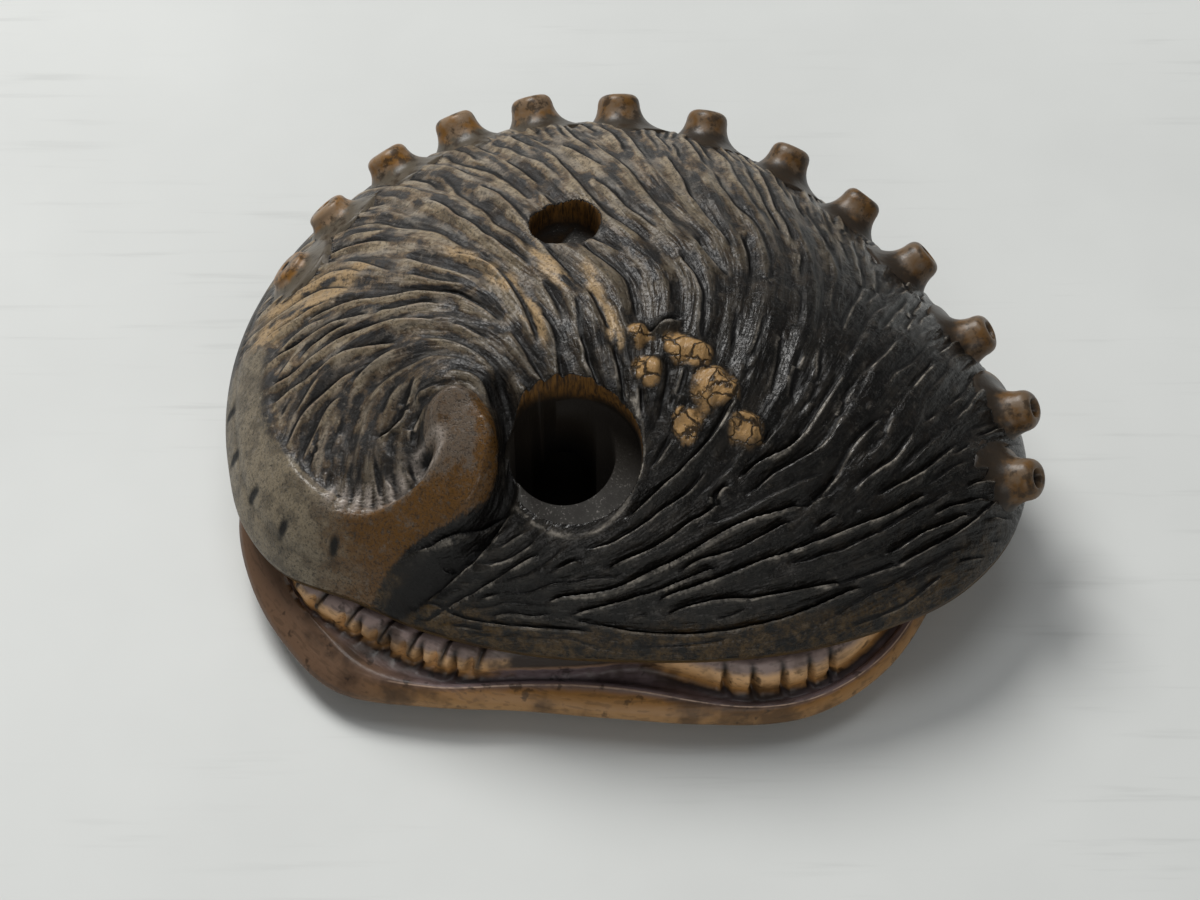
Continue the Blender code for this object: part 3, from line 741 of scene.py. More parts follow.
def fold_depth(plan):
    """Depth of the folds by place, in V: boldest in the lower half and at the whorl's foot, faint at
    the far rim and beside the small mouth."""
    _, share = polar(plan)
    lower = 1 - rise_between(plan[..., 1], -9, 0)
    right = rise_between(plan[..., 0], -8, 4)
    far = rise_between(plan[..., 1], 4, 14)
    foot = 1 - rise_between(distance(plan, (-15.5, -7.6)), 1.5, 4)
    depth = 0.72 + 0.5 * lower * (0.4 + 0.6 * right) - 0.28 * far + 0.4 * foot
    near_edge = 1 - 0.4 * rise_between(share, 0.9, 0.99)
    mouth = distance(plan, MOUTH_AT) - MOUTH_RADIUS / U
    return depth * near_edge * (0.25 + 0.75 * rise_between(mouth, 0.2, 1.1))


def stroke_depth(plan):
    """Depth of the fine strokes by place: deepest at the right and far rim."""
    bearing, share = polar(plan)
    rim = rise_between(share, 0.5, 0.8) * rise_between(bearing, -50, -15)
    rim = rim * (1 - rise_between(bearing, 110, 150))
    return 0.15 + 0.9 * rim


def worn_streaks(plan):
    """1 where the stain is worn through along the folds, at the upper left and by the crown."""
    most = np.zeros(plan.shape[:-1])
    ragged = plan + 0.35 * np.stack([lumps(plan, 0.8, 31), lumps(plan, 0.8, 32)], -1)
    for x, y, length, width, heading in WORN:
        turn = math.radians(heading)
        dx, dy = ragged[..., 0] - x, ragged[..., 1] - y
        along = (dx * math.cos(turn) + dy * math.sin(turn)) / length
        across = (dy * math.cos(turn) - dx * math.sin(turn)) / width
        most = np.maximum(most, 1 - rise_between(np.hypot(along, across), 0.6, 1.3))
    return most


def even_shares(rings):
    """Shares of the way out that step evenly down the slope of the dome."""
    share, length = arc_table()
    return np.interp(np.linspace(0, length[-1], rings + 1), length, share)


def disc_grid(rings):
    """Even square grid bent to a disc: each square ring of points becomes a circle. Gives bearing in
    degrees and share of the way out, for (2 rings + 1) by (2 rings + 1) points."""
    step = np.arange(-rings, rings + 1)
    a, b = np.meshgrid(step, step, indexing="ij")
    ring = np.maximum(np.abs(a), np.abs(b))
    wide = np.abs(a) >= np.abs(b)
    ratio = np.where(wide, b, a) / np.where(ring == 0, 1, np.where(wide, a, b))
    beside = 45 * ratio + np.where(a < 0, 180, 0)
    ahead = 90 - 45 * ratio + np.where(b < 0, 180, 0)
    bearing = np.where(wide, beside, ahead)
    return bearing, even_shares(rings)[ring]


def whorl_marks(plan):
    """The whorl's own marks: the sharp step up to the band's inner edge, the pocket beside its head
    and the knuckles along the edge, with a painted highlight on the knuckles and on the pocket's rim."""
    inner = curve_through(INNER_EDGE, 60)
    side, which = side_of(plan, inner)
    near = (1 - rise_between(np.abs(side), 1.6, 3.0)) * rise_between(plan[:, 0], -18.6, -16.0)
    step = INNER_STEP * (rise_between(side, -0.35, 0.35) - 0.5) * near
    from_pocket = distance(plan, POCKET_AT)
    pocket = rounded(from_pocket / POCKET_RADIUS)
    foot = (1 - rise_between(plan[:, 1], -8.6, -6.6)) * rise_between(plan[:, 0], -18.6, -16.8)
    foot = foot * (1 - rise_between(plan[:, 0], -13.2, -12.2))
    run = np.cumsum(np.r_[0, np.hypot(*np.diff(inner, axis=0).T)])[which]
    ball = 0.5 + 0.5 * np.cos(2 * np.pi * run / KNUCKLE_PITCH + 1.2 * np.sin(run) + 0.5 * side)
    # Painted highlight on the knuckles
    knuckle_highlight = bell(side + 0.85, 0.65) * foot * ball
    step = step + 0.30 * bell(side + 0.9, 0.85) * foot * (ball - 0.4)
    # Painted highlight along the pocket's rim
    pocket_rim_highlight = bell(from_pocket - 0.75, 0.25)
    pocket_rim_highlight = pocket_rim_highlight * (1 - rise_between(plan[:, 1], -7.4, -6.6))
    return step - POCKET_DEPTH * pocket, np.clip(knuckle_highlight + 0.6 * pocket_rim_highlight, 0, 1), pocket


def eased(grid):
    """Each value of a grid mixed with its neighbours, half and a quarter from either side."""
    for _ in range(2):
        grid = np.pad(grid, ((1, 1), (0, 0)), mode="edge")
        grid = (0.25 * grid[:-2] + 0.5 * grid[1:-1] + 0.25 * grid[2:]).T
    return grid


def suture_mark(plan):
    """1 in the dark groove between the band and the recess."""
    suture = curve_through(SUTURE, 60)
    away, which = nearest(plan, suture)
    return rounded(away / (suture[which, 2] * 1.25))


def shell_top():
    """Points of the shell's top and what the finish reads there."""
    bearing, share = disc_grid(DOME_RINGS)
    over = dome(bearing, share)
    plan = over[..., :2].reshape(-1, 2)
    flat = unrolled(bearing, share).reshape(-1, 2)
    headings, rules = FlatMap(flat_headings), FlatMap(flat_rules)
    band, _ = on_band(plan)
    free = room(plan)
    barnacle = on_barnacles(plan)
    folds = nearest_lines(flat, draw_folds(headings, rules), FOLD_REACH)
    fold_rise, lip, cut = overlapping(folds, FOLD_SOFT)
    strokes = nearest_lines(flat, draw_strokes(headings, rules), STROKE_REACH)
    stroke_rise, stroke_lip, stroke_cut = overlapping(strokes, STROKE_SOFT)
    whorl_rise, knuckle_highlight, pocket = whorl_marks(plan)
    rise = relief(over[..., :2], main_folds()).ravel()
    rise += FOLD_RISE * fold_depth(plan) * fold_rise * free
    rise += STROKE_RISE * stroke_depth(plan) * stroke_rise * free
    rise += 0.10 * lumps(plan, 2.4, 41) + 0.03 * lumps(plan, 0.9, 42) * (1 - band) + whorl_rise
    rise += barnacle * (0.20 * lumps(plan, 0.55, 43) + 0.10 * lumps(plan, 0.28, 44))
    turned_left = turned_from(bearing.ravel(), 190)
    margin_line = (1 - rise_between(turned_left, 30, 50)) * bell(share.ravel() - 0.972, 0.006)
    rise -= 0.16 * margin_line
    dimple = np.zeros(len(plan))
    for x, y in DIMPLES:
        dimple = np.maximum(dimple, rounded(distance(plan, (x, y)) / (DIMPLE_RADIUS * SOFT_EDGE)))
    rise -= DIMPLE_DEPTH * dimple
    over[..., 2] += eased(rise.reshape(share.shape)) * np.clip((1 - share) / RIM_FADE, 0, 1)
    plan_step = dome(*rolled(flat + 0.1 * headings.read(flat)))
    heading = plan_step - dome(bearing, share).reshape(-1, 3)
    heading /= np.linalg.norm(heading, axis=1)[:, None] + 1e-9
    suture = suture_mark(plan)
    soft_end = 0.6 * rise_between(plan[:, 1], -8, -2) * (1 - rise_between(plan[:, 0], -17, -14))
    # Lips of the folds: paler in the finish, as wear and a painted highlight along each crest
    lips = np.clip(lip * free + 0.35 * stroke_lip * free, 0, 1)
    # Cuts of the folds and strokes: black in the finish, as painted shade
    cuts = np.clip(cut * free + 0.4 * stroke_cut * free, 0, 1)
    near_side = 1 - rise_between(plan[:, 1] - 0.6 * plan[:, 0], -5.5, -1.5)
    # Pale band along the near rim of the recess: a painted highlight
    recess_rim_highlight = bell(from_recess(plan) - 0.10, 0.17) * near_side
    # Painted shade also in the margin line, the dimples, the suture groove and the pocket
    cuts = cuts + 0.28 * margin_line + dimple + 0.95 * suture * (1 - 0.5 * lips) + pocket
    lower_left = 1 - rise_between(turned_from(bearing.ravel(), -95), 45, 75)
    marks = {
        "lip": np.clip(lips + recess_rim_highlight, 0, 1),
        # Fold tops paler and valleys darker in the finish: wear, and painted shade in the valleys
        "high": rise_between(fold_rise + 0.3 * lumps(plan, 0.8, 47), -0.7, 0.8),
        "cut": np.clip(cuts, 0, 1),
        "band": rise_between(band, 0.05, 0.3 + soft_end) * (1 - rise_between(suture, 0.0, 0.5))
                * above_foot_line(plan) * (1 - 0.5 * soft_end),
        "smooth": np.maximum(rise_between(band, 0.05, 0.3) * above_foot_line(plan), margin_share(plan)),
        "barnacle": barnacle,
        "worn": worn_streaks(plan) * (1 - 0.8 * np.clip(cut, 0, 1)),
        "knuckle_highlight": knuckle_highlight,
        # Far, upper-left side: greyer stain, and painted sheen where the light from behind falls
        "grey": rise_between(plan[:, 1] - 0.65 * plan[:, 0], -7, 17),
        "shell_rim": rise_between(share.ravel() + 0.012 * lumps(plan, 1.2, 48), 0.935, 0.972) * lower_left,
        "frill": np.zeros(len(plan)),
        "down": np.zeros(len(plan)),
        "flow": heading,
    }
    return bearing, over, marks


def notched(bearing, notches, slant):
    """Saw cuts across the frill, 0 to 1, at those bearings, leaning by the slant down the face."""
    cut = np.zeros_like(bearing)
    for at in notches:
        along = np.radians(bearing - at) * around(FRILL, bearing)
        cut = np.maximum(cut, np.clip(1.15 - np.abs(along - slant) / NOTCH_REACH, 0, 1))
    return cut


def flesh_profile(bearing):
    """Points down the side below the shell's edge, at each bearing, in U and V: from the lip through
    the groove, the frill, the foot's hollow top and the brim to the underside."""
    edge, brim, frill = around(EDGE, bearing), around(BRIM, bearing), around(FRILL, bearing)
    lip, crease = around(EDGE_HEIGHT, bearing), around(CREASE_HEIGHT, bearing)
    upper = notched(bearing, UPPER_NOTCHES, 0.0)
    slanted = notched(bearing, UPPER_NOTCHES, -NOTCH_SLANT)
    lower = notched(bearing, LOWER_NOTCHES, 0.0)
    scallop = 0.5 + 0.5 * np.cos(2 * np.pi * np.radians(bearing) * frill / 1.9)
    left = 1 - rise_between(bearing, -140, -118) * (1 - rise_between(bearing, 120, 150))
    inset = around(CREASE_INSET, bearing) + 1.1 * left
    inner = np.minimum(edge, brim) - GROOVE_DEPTH
    crest = np.minimum(frill, brim - inset - HOLLOW_WIDTH)
    sole = SOLE_RADIUS / U
    shell_lip = ((edge, lip), (edge - 0.15, lip - 0.45), (edge - 0.6, lip - 0.75), (inner, lip - 0.85))
    frill_face = (
        (inner + 0.4 * (crest - inner), lip - 0.75 - 0.3 * upper),
        (crest - 0.75 - FRILL_NOTCH * upper, lip - 0.62 - 0.5 * upper),
        (crest - 0.3 - FRILL_NOTCH * upper, lip - 0.9),
        (crest + 0.1 - FRILL_NOTCH * np.maximum(slanted, 0.8 * lower), 0.5 * (lip + crease) - 0.5),
        (crest - 0.05 - FRILL_NOTCH * lower, crease - 0.1 + 0.18 * scallop),
    )
    dip = 0.42 - 0.36 * left
    hollow_top = ((0.5 * (crest + brim - inset) - 0.05, crease - dip),
                  (brim - inset - 0.4, crease - 0.12 + 0.1 * left))
    brim_side = ((brim - inset, crease - 0.25 * left), (brim - 0.45 * inset, crease - 0.35 - 0.35 * left),
                 (brim, crease - 1.1 - 0.3 * left), (brim - 0.8, 1.15))
    underside = ((brim - 2.6, 0.62), (0.45 * (brim - 2.6) + 0.55 * sole, 0.2))
    rows = shell_lip + frill_face + hollow_top + brim_side + underside
    radius = np.stack([np.broadcast_to(r, bearing.shape) for r, _ in rows])
    height = np.stack([np.broadcast_to(z, bearing.shape) for _, z in rows])
    return radius, height, np.maximum(upper, lower)


def resample(values, at):
    """Smooth curve down the first axis, sampled at those row numbers."""
    rows = len(values)
    slope = np.gradient(values, axis=0)
    i = np.clip(at.astype(int), 0, rows - 2)
    s = (at - i)[:, None]
    return cubic(s, 1, values, slope, i)


def foot_side(turn):
    """Rings below the shell's edge, down to the flat under the sole, and what the finish reads."""
    bearing = (np.degrees(turn) + 180) % 360 - 180
    radius, height, notch = flesh_profile(bearing)
    at = np.linspace(0, len(radius) - 1, FLESH_ROWS + 1)[1:]
    radius, height = resample(radius, at), resample(height, at)
    under = np.stack([OUTLINE_CENTRE[0] + radius * np.cos(turn), OUTLINE_CENTRE[1] + radius * np.sin(turn),
                      height], -1)
    down = np.broadcast_to(at[:, None] / FOOT_ROWS, radius.shape)
    on_frill = bell(down * FOOT_ROWS - 6.5, 1.6)
    along = np.stack([-np.sin(turn), np.cos(turn), np.zeros(len(turn))], -1)
    none = np.zeros(radius.size)
    pale = rise_between(bearing, -134, -118) * (1 - rise_between(bearing, 60, 100))
    frilled = np.maximum(bell(bearing + 139, 23), bell(bearing + 63, 21))
    marks = {
        "lip": none, "band": none, "smooth": none, "barnacle": none, "worn": none, "knuckle_highlight": none,
        "cut": (notch * on_frill).ravel(),
        "grey": np.broadcast_to(pale, radius.shape).ravel(),
        "shell_rim": none + 1, "high": none,
        "frill": np.broadcast_to(frilled, radius.shape).ravel(),
        "down": down.ravel(),
        "flow": np.broadcast_to(along, (*radius.shape, 3)).reshape(-1, 3),
    }
    return under, marks


def carved_mesh():
    """The bent grid is the shell's top, and rings of as many points as its border run on from it down
    the foot to one flat face under the sole."""
    bearing, over, top_marks = shell_top()
    side = 2 * DOME_RINGS
    number = np.arange((side + 1) ** 2).reshape(side + 1, side + 1)
    border = np.concatenate([number[-1, :-1], number[:0:-1, -1], number[0, :0:-1], number[:-1, 0]])
    turn = np.radians(bearing.ravel()[border])
    under, side_marks = foot_side(turn)
    centre = np.array([*FORM_SHIFT, 0]) * U
    drawn = np.concatenate([over.reshape(-1, 3), under.reshape(-1, 3)]) * np.array([U, U, V]) + centre
    sole = np.stack([OUTLINE_CENTRE[0] * U + SOLE_RADIUS * np.cos(turn),
                     OUTLINE_CENTRE[1] * U + SOLE_RADIUS * np.sin(turn), np.zeros(len(turn))], -1) + centre
    points = np.concatenate([drawn, sole])
    top = np.stack([number[:-1, :-1], number[1:, :-1], number[1:, 1:], number[:-1, 1:]], -1).reshape(-1, 4)
    rows = FLESH_ROWS + 1
    below = number.size + np.arange(rows * len(turn)).reshape(rows, len(turn))
    rings = np.concatenate([border[None], below])
    after = np.roll(rings, -1, axis=1)
    skirt = np.stack([rings[:-1], rings[1:], after[1:], after[:-1]], -1).reshape(-1, 4)
    faces = top.tolist() + skirt.tolist() + [rings[-1, ::-1].tolist()]
    mesh = bpy.data.meshes.new("carved_form")
    mesh.from_pydata(points.tolist(), [], faces)
    mesh.polygons.foreach_set("material_index", np.repeat([0, 1], [len(top), len(skirt) + 1]))
    for name in top_marks:
        ends = side_marks[name][-len(turn):]
        values = np.concatenate([top_marks[name], side_marks[name], ends])
        put_attribute(mesh, name, values)
    mesh.update()
    return mesh


def put_attribute(mesh, name, values):
    """Stores one number or one vector for each vertex."""
    kind, field = ("FLOAT_VECTOR", "vector") if values.ndim == 2 else ("FLOAT", "value")
    attribute = mesh.attributes.new(name, kind, "POINT")
    attribute.data.foreach_set(field, np.ascontiguousarray(values, np.float32).ravel())


def vertices_of(mesh):
    """The mesh's vertices, as rows of x, y and z."""
    points = np.empty(3 * len(mesh.vertices))
    mesh.vertices.foreach_get("co", points)
    return points.reshape(-1, 3)


def refined(profile, step):
    """Points of a profile with more between, no further apart than the step."""
    points = [profile[0]]
    for a, b in zip(profile, profile[1:]):
        count = max(1, math.ceil(math.hypot(b[0] - a[0], b[1] - a[1]) / step))
        points += [(a[0] + (b[0] - a[0]) * k / count, a[1] + (b[1] - a[1]) * k / count)
                   for k in range(1, count + 1)]
    return points


def turned_mesh(name, profile, sides, matrix, wobble=0.0):
    """Closed solid of revolution about Z from (radius, height) points, first and last on the axis,
    placed by a matrix. A wobble makes it slightly out of round."""
    turn = np.linspace(0, 2 * math.pi, sides, endpoint=False)
    radius = np.array([r for r, _ in profile[1:-1]])[:, None]
    height = np.array([z for _, z in profile[1:-1]])[:, None]
    round_off = 1 + wobble * (np.cos(2 * turn + 1) + 0.7 * np.cos(3 * turn + 40 * wobble))
    rings = np.stack([radius * np.cos(turn) * round_off, radius * np.sin(turn) * round_off,
                      height + 0 * turn], -1).reshape(-1, 3)
    points = np.concatenate([[(0, 0, profile[0][1])], rings, [(0, 0, profile[-1][1])]])
    number = 1 + np.arange(len(rings)).reshape(-1, sides)
    after = np.roll(number, -1, axis=1)
    walls = np.stack([number[:-1], after[:-1], after[1:], number[1:]], -1).reshape(-1, 4).tolist()
    foot = [[0, int(b), int(a)] for a, b in zip(number[0], after[0])]
    head = [[len(points) - 1, int(a), int(b)] for a, b in zip(number[-1], after[-1])]
    mesh = bpy.data.meshes.new(name)
    mesh.from_pydata(points.tolist(), [], walls + foot + head)
    mesh.transform(matrix)
    mesh.update()
    return mesh


def aimed(origin, direction):
    """Matrix that stands local Z along a direction at a point."""
    matrix = Vector(direction).to_track_quat("Z", "Y").to_matrix().to_4x4()
    matrix.translation = Vector(origin)
    return matrix


def placed(point):
    """A point of the drawn form, in U, U and V, as metres in the frame."""
    return (np.array(point) + np.array([*FORM_SHIFT, 0])) * np.array([U, U, V])


def pore_places():
    """Foot, direction and size of each open pore."""
    places = []
    for bearing in PORE_ANGLES:
        nearness = (90 - bearing) / 110 if bearing < 90 else 0.0
        row = PORE_ROW + (PORE_ROW_END - PORE_ROW) * nearness**2 - PORE_INWARD
        seat = placed(dome(np.array(float(bearing)), np.array(row)))
        lean = math.radians(PORE_LEAN_FAR + (PORE_LEAN_NEAR - PORE_LEAN_FAR) * nearness)
        turn = math.radians(bearing)
        level = math.cos(lean)
        direction = np.array((math.cos(turn) * level, math.sin(turn) * level, math.sin(lean)))
        places.append((seat, direction, LOW_PORES.get(bearing, 1.0)))
    return places


def crater_radius(size):
    """Radius of the crater in a pore of that size."""
    return PORE_CRATER * (0.45 + 0.5 * size)


def pore_profile(size):
    """Half section of one pore: a broad foot that sweeps up out of the shell, a stout cone, a rolled
    rim and a crater in its top. A low pore is a knob with a mere dent."""
    tall = PORE_HEIGHT * PORE_STAND * size
    sweep = ((PORE_RIM + (PORE_BASE - PORE_RIM) * (1 - k / 12)**2 + PORE_FLARE * math.exp(-0.34 * k),
              tall * (-0.34 + 1.02 * k / 12)) for k in range(13))
    hole = crater_radius(size)
    deep = CRATER_DEPTH * size**2
    roll = 0.85 * (PORE_RIM - hole)
    rim = ((PORE_RIM - roll + roll * math.cos(math.pi * k / 16),
            tall * (0.70 + 0.30 * math.sin(math.pi * k / 16))) for k in range(1, 9))
    face = ((hole + 0.06 * roll, tall * 0.99), (hole, tall - 0.2 * deep), (hole * 0.85, tall - 0.6 * deep))
    return ((0, -PORE_ROOT), (PORE_BASE + 0.8 * PORE_FLARE, -PORE_ROOT), *sweep, *rim, *face,
            (hole * 0.5, tall - 0.95 * deep), (0, tall - deep))


def recess_axis():
    """Direction square to the slope that the recess is cut into."""
    tilt = math.radians(RECESS_TILT)
    return np.array([0.0, -math.sin(tilt), math.cos(tilt)])


def about_axis(points, origin, axis):
    """How far points lie along an axis from its origin, and how far off it."""
    offset = points - origin
    along = offset @ axis
    return along, np.linalg.norm(offset - along[:, None] * axis, axis=1)


def hole_cutters():
    """Counterbore square to the slope, bore straight down inside it, and a slanting channel from the
    small mouth that meets the foot of the bore."""
    tilt = math.radians(RECESS_TILT)
    out = recess_axis()
    floor = placed(dome_at(RECESS_AT)) - RECESS_DEPTH * out
    bearing = math.radians(BORE_BEARING)
    shift = RECESS_RADIUS - BORE_RADIUS
    bore = floor + shift * np.array([math.cos(bearing), math.sin(bearing) * math.cos(tilt),
                                     math.sin(bearing) * math.sin(tilt)])
    over = CROWN_HEIGHT * V + CUTTER_CLEARANCE
    turnover = placed(dome_at(MOUTH_AT)) - np.array([0, 0, MOUTH_DEPTH])
    meeting = np.array([bore[0], bore[1], BORE_FLOOR + CHANNEL_RADIUS])
    reach = float(np.linalg.norm(turnover - meeting))
    foot = np.array([bore[0], bore[1], BORE_FLOOR])
    sizes = (
        ("recess_cutter", floor, out, RECESS_RADIUS, over - floor[2]),
        ("bore_cutter", foot, (0, 0, 1), BORE_RADIUS, over - BORE_FLOOR),
        ("mouth_cutter", turnover, (0, 0, 1), MOUTH_RADIUS, over - turnover[2]),
        ("channel_cutter", meeting, turnover - meeting, CHANNEL_RADIUS, reach),
    )
    cutters = []
    for name, origin, direction, radius, tall in sizes:
        profile = refined(((0, 0), (radius, 0), (radius, tall), (0, tall)), HOLE_ROW)
        cutters.append(turned_mesh(name, profile, HOLE_SIDES, aimed(origin, tuple(direction)), HOLE_WOBBLE))
    return cutters


def new_object(name, data):
    """An object with that data, in the scene."""
    item = bpy.data.objects.new(name, data)
    bpy.context.scene.collection.objects.link(item)
    return item


def joined_by(target, meshes, operation, slot):
    """The target mesh with each of the others added to it or cut from it, their faces in that
    material slot."""
    for mesh in meshes:
        for material in target.materials:
            mesh.materials.append(material)
        mesh.polygons.foreach_set("material_index", np.full(len(mesh.polygons), slot))
        base, other = new_object("base", target), new_object("other", mesh)
        change = base.modifiers.new("change", "BOOLEAN")
        change.operation = operation
        change.solver = "MANIFOLD"
        change.object = other
        target = evaluated(base)
        for item in (base, other):
            bpy.data.objects.remove(item)
    return target


def evaluated(item):
    """The object's mesh with its modifiers applied."""
    graph = bpy.context.evaluated_depsgraph_get()
    graph.update()
    return bpy.data.meshes.new_from_object(item.evaluated_get(graph), depsgraph=graph)


def from_rims(points):
    """Distance of points from the nearest rim of a cord hole, in metres."""
    seat = placed(dome_at(RECESS_AT))
    away = np.full(len(points), 1.0)
    for centre, axis, radius, low_end, high_end in (
            (seat, recess_axis(), RECESS_RADIUS, -0.0012, 0.004),
            (placed(dome_at(MOUTH_AT)), np.array([0, 0, 1.0]), MOUTH_RADIUS, -0.0012, 0.003)):
        along, across = about_axis(points, centre, axis)
        here = np.where((along > low_end) & (along < high_end), np.abs(across - radius), 1.0)
        away = np.minimum(away, here)
    return away


def softened(mesh, reach=0.00034, rounds=14):
    """Rubs the rims of the cord holes: each vertex close to one moves to the mean of its neighbours,
    a few times."""
    points = vertices_of(mesh)
    edges = np.empty(2 * len(mesh.edges), int)
    mesh.edges.foreach_get("vertices", edges)
    edges = edges.reshape(-1, 2)
    share = 0.6 * (1 - rise_between(from_rims(points), 0.5 * reach, reach))
    picked = edges[(share[edges] > 0).any(1)]
    ends = np.concatenate([picked[:, 0], picked[:, 1]])
    others = np.concatenate([picked[:, 1], picked[:, 0]])
    count = np.maximum(np.bincount(ends, minlength=len(points)), 1)
    for _ in range(rounds):
        total = np.stack([np.bincount(ends, points[others, k], len(points)) for k in range(3)], -1)
        points += share[:, None] * (total / count[:, None] - points)
    mesh.vertices.foreach_set("co", points.ravel())
    mesh.update()
    return mesh


def thinned(mesh):
    """The mesh with fewer triangles where it is smooth, and its fine edges kept."""
    item = new_object("thick", mesh)
    change = item.modifiers.new("fewer", "DECIMATE")
    change.ratio = min(1.0, MOST_TRIANGLES / sum(len(face.vertices) - 2 for face in mesh.polygons))
    change.use_collapse_triangulate = True
    result = evaluated(item)
    bpy.data.objects.remove(item)
    return result


# Finish

BLACK_STAIN = (0.0050, 0.0044, 0.0037, 1)
BROWN_STAIN = (0.034, 0.023, 0.014, 1)
GREY_STAIN_AND_SHEEN = (0.315, 0.250, 0.165, 1)
GREY_DEEP = (0.042, 0.040, 0.039, 1)
WARM_BROWN = (0.150, 0.105, 0.064, 1)
FLESH_PURPLE = (0.150, 0.112, 0.118, 1)
PALE_WEAR_AND_HIGHLIGHT = (0.30, 0.27, 0.23, 1)
BARE_WOOD = (0.36, 0.25, 0.135, 1)
WORN_TAN = (0.25, 0.175, 0.11, 1)
BAND_BROWN = (0.124, 0.094, 0.069, 1)
BAND_GOLD = (0.118, 0.057, 0.015, 1)
MARGIN_OLIVE = (0.205, 0.168, 0.115, 1)
MARGIN_DARK = (0.120, 0.098, 0.068, 1)
KNUCKLE_HIGHLIGHT = (0.48, 0.42, 0.37, 1)
RIM_OLIVE = (0.085, 0.050, 0.016, 1)
FLESH_DARK = (0.130, 0.076, 0.046, 1)
LIP_SHADOW_BLACK = (0.030, 0.019, 0.014, 1)
BARNACLE_TAN = (0.34, 0.205, 0.085, 1)
SHADE_AND_STAIN_BLACK = (0.0035, 0.0030, 0.0026, 1)
PORE_BROWN = (0.25, 0.170, 0.105, 1)
PORE_GOLD = (0.22, 0.105, 0.024, 1)
PORE_FOOT = (0.022, 0.018, 0.014, 1)
GREY_FOOT = (0.095, 0.078, 0.056, 1)
FOOT_STAIN = (0.030, 0.017, 0.010, 1)
WALL_GOLD = (0.16, 0.075, 0.015, 1)
WALL_BROWN = (0.03, 0.016, 0.006, 1)
HOLE_SHADE_BLACK = (0.010, 0.007, 0.004, 1)
CHARCOAL = (0.022, 0.020, 0.017, 1)
CHARCOAL_PALE = (0.13, 0.12, 0.11, 1)
CHARCOAL_DARK = (0.016, 0.014, 0.012, 1)
FLOOR_WHITE = (0.64, 0.655, 0.64, 1)
FLOOR_GRAIN = (0.36, 0.37, 0.36, 1)
SHEEN = 0.25


def add(tree, kind, inputs=None, **settings):
    """Adds a node with its settings, and feeds its inputs: a socket is linked, anything else is a
    value."""
    node = tree.nodes.new(kind)
    for name, value in settings.items():
        setattr(node, name, value)
    for key, value in (inputs or {}).items():
        if isinstance(value, bpy.types.NodeSocket):
            tree.links.new(value, node.inputs[key])
        else:
            node.inputs[key].default_value = value
    return node


def mark(tree, name):
    """The named vertex attribute, as a number."""
    return add(tree, "ShaderNodeAttribute", attribute_name=name).outputs["Fac"]


def own_place(tree):
    """The point on the surface, in the object's own metres."""
    return add(tree, "ShaderNodeTexCoord").outputs["Object"]


def maths(tree, operation, a, b=0.5, c=0.0, clamp=False):
    node = add(tree, "ShaderNodeMath", {0: a, 1: b, 2: c}, operation=operation, use_clamp=clamp)
    return node.outputs[0]


def product(tree, a, b, clamp=False):
    """a times b."""
    return maths(tree, "MULTIPLY", a, b, clamp=clamp)


def scaled(tree, value, factor, offset, clamp=False):
    """The value times a factor, with an offset added."""
    return maths(tree, "MULTIPLY_ADD", value, factor, offset, clamp)


def mixed(tree, share, a, b):
    """Colour a turned to colour b by the share."""
    node = add(tree, "ShaderNodeMix", data_type="RGBA", clamp_factor=True)
    for index, value in ((0, share), (6, a), (7, b)):
        if isinstance(value, bpy.types.NodeSocket):
            tree.links.new(value, node.inputs[index])
        else:
            node.inputs[index].default_value = value
    return node.outputs[2]


def between(tree, value, first, last, low_end=0.0, high_end=1.0):
    """Smooth rise from low_end to high_end as the value goes from first to last."""
    node = add(tree, "ShaderNodeMapRange", {0: value, 1: first, 2: last, 3: low_end, 4: high_end},
               interpolation_type="SMOOTHSTEP")
    return node.outputs[0]


def grain(tree, position, scale, detail=3.0, rough=0.55, spread=0.0):
    node = add(tree, "ShaderNodeTexNoise", {"Vector": position, "Scale": scale, "Detail": detail,
                                            "Roughness": rough, "Distortion": spread})
    return node.outputs["Fac"]


STREAK_SAMPLES = 9


def streak_group():
    """Group: noise drawn out along the flow. It is the mean of one noise at points stepped along
    the flow to either side, with its contrast brought back."""
    group = bpy.data.node_groups.new("streaks_along_flow", "ShaderNodeTree")
    for name, kind in (("Position", "NodeSocketVector"), ("Flow", "NodeSocketVector"),
                       ("Scale", "NodeSocketFloat"), ("Step", "NodeSocketFloat")):
        group.interface.new_socket(name, in_out="INPUT", socket_type=kind)
    group.interface.new_socket("Streak", in_out="OUTPUT", socket_type="NodeSocketFloat")
    taken = group.nodes.new("NodeGroupInput")
    given = group.nodes.new("NodeGroupOutput")
    total = None
    for k in range(STREAK_SAMPLES):
        reach = product(group, taken.outputs["Step"], float(k - STREAK_SAMPLES // 2))
        moved = add(group, "ShaderNodeVectorMath", {0: taken.outputs["Flow"]}, operation="SCALE")
        group.links.new(reach, moved.inputs["Scale"])
        spot = add(group, "ShaderNodeVectorMath", {0: taken.outputs["Position"], 1: moved.outputs[0]},
                   operation="ADD")
        noise = grain(group, spot.outputs[0], 1.0, 1.5)
        group.links.new(taken.outputs["Scale"], noise.node.inputs["Scale"])
        total = noise if total is None else maths(group, "ADD", total, noise)
    mean = maths(group, "DIVIDE", total, float(STREAK_SAMPLES))
    group.links.new(between(group, mean, 0.38, 0.62), given.inputs["Streak"])
    return group


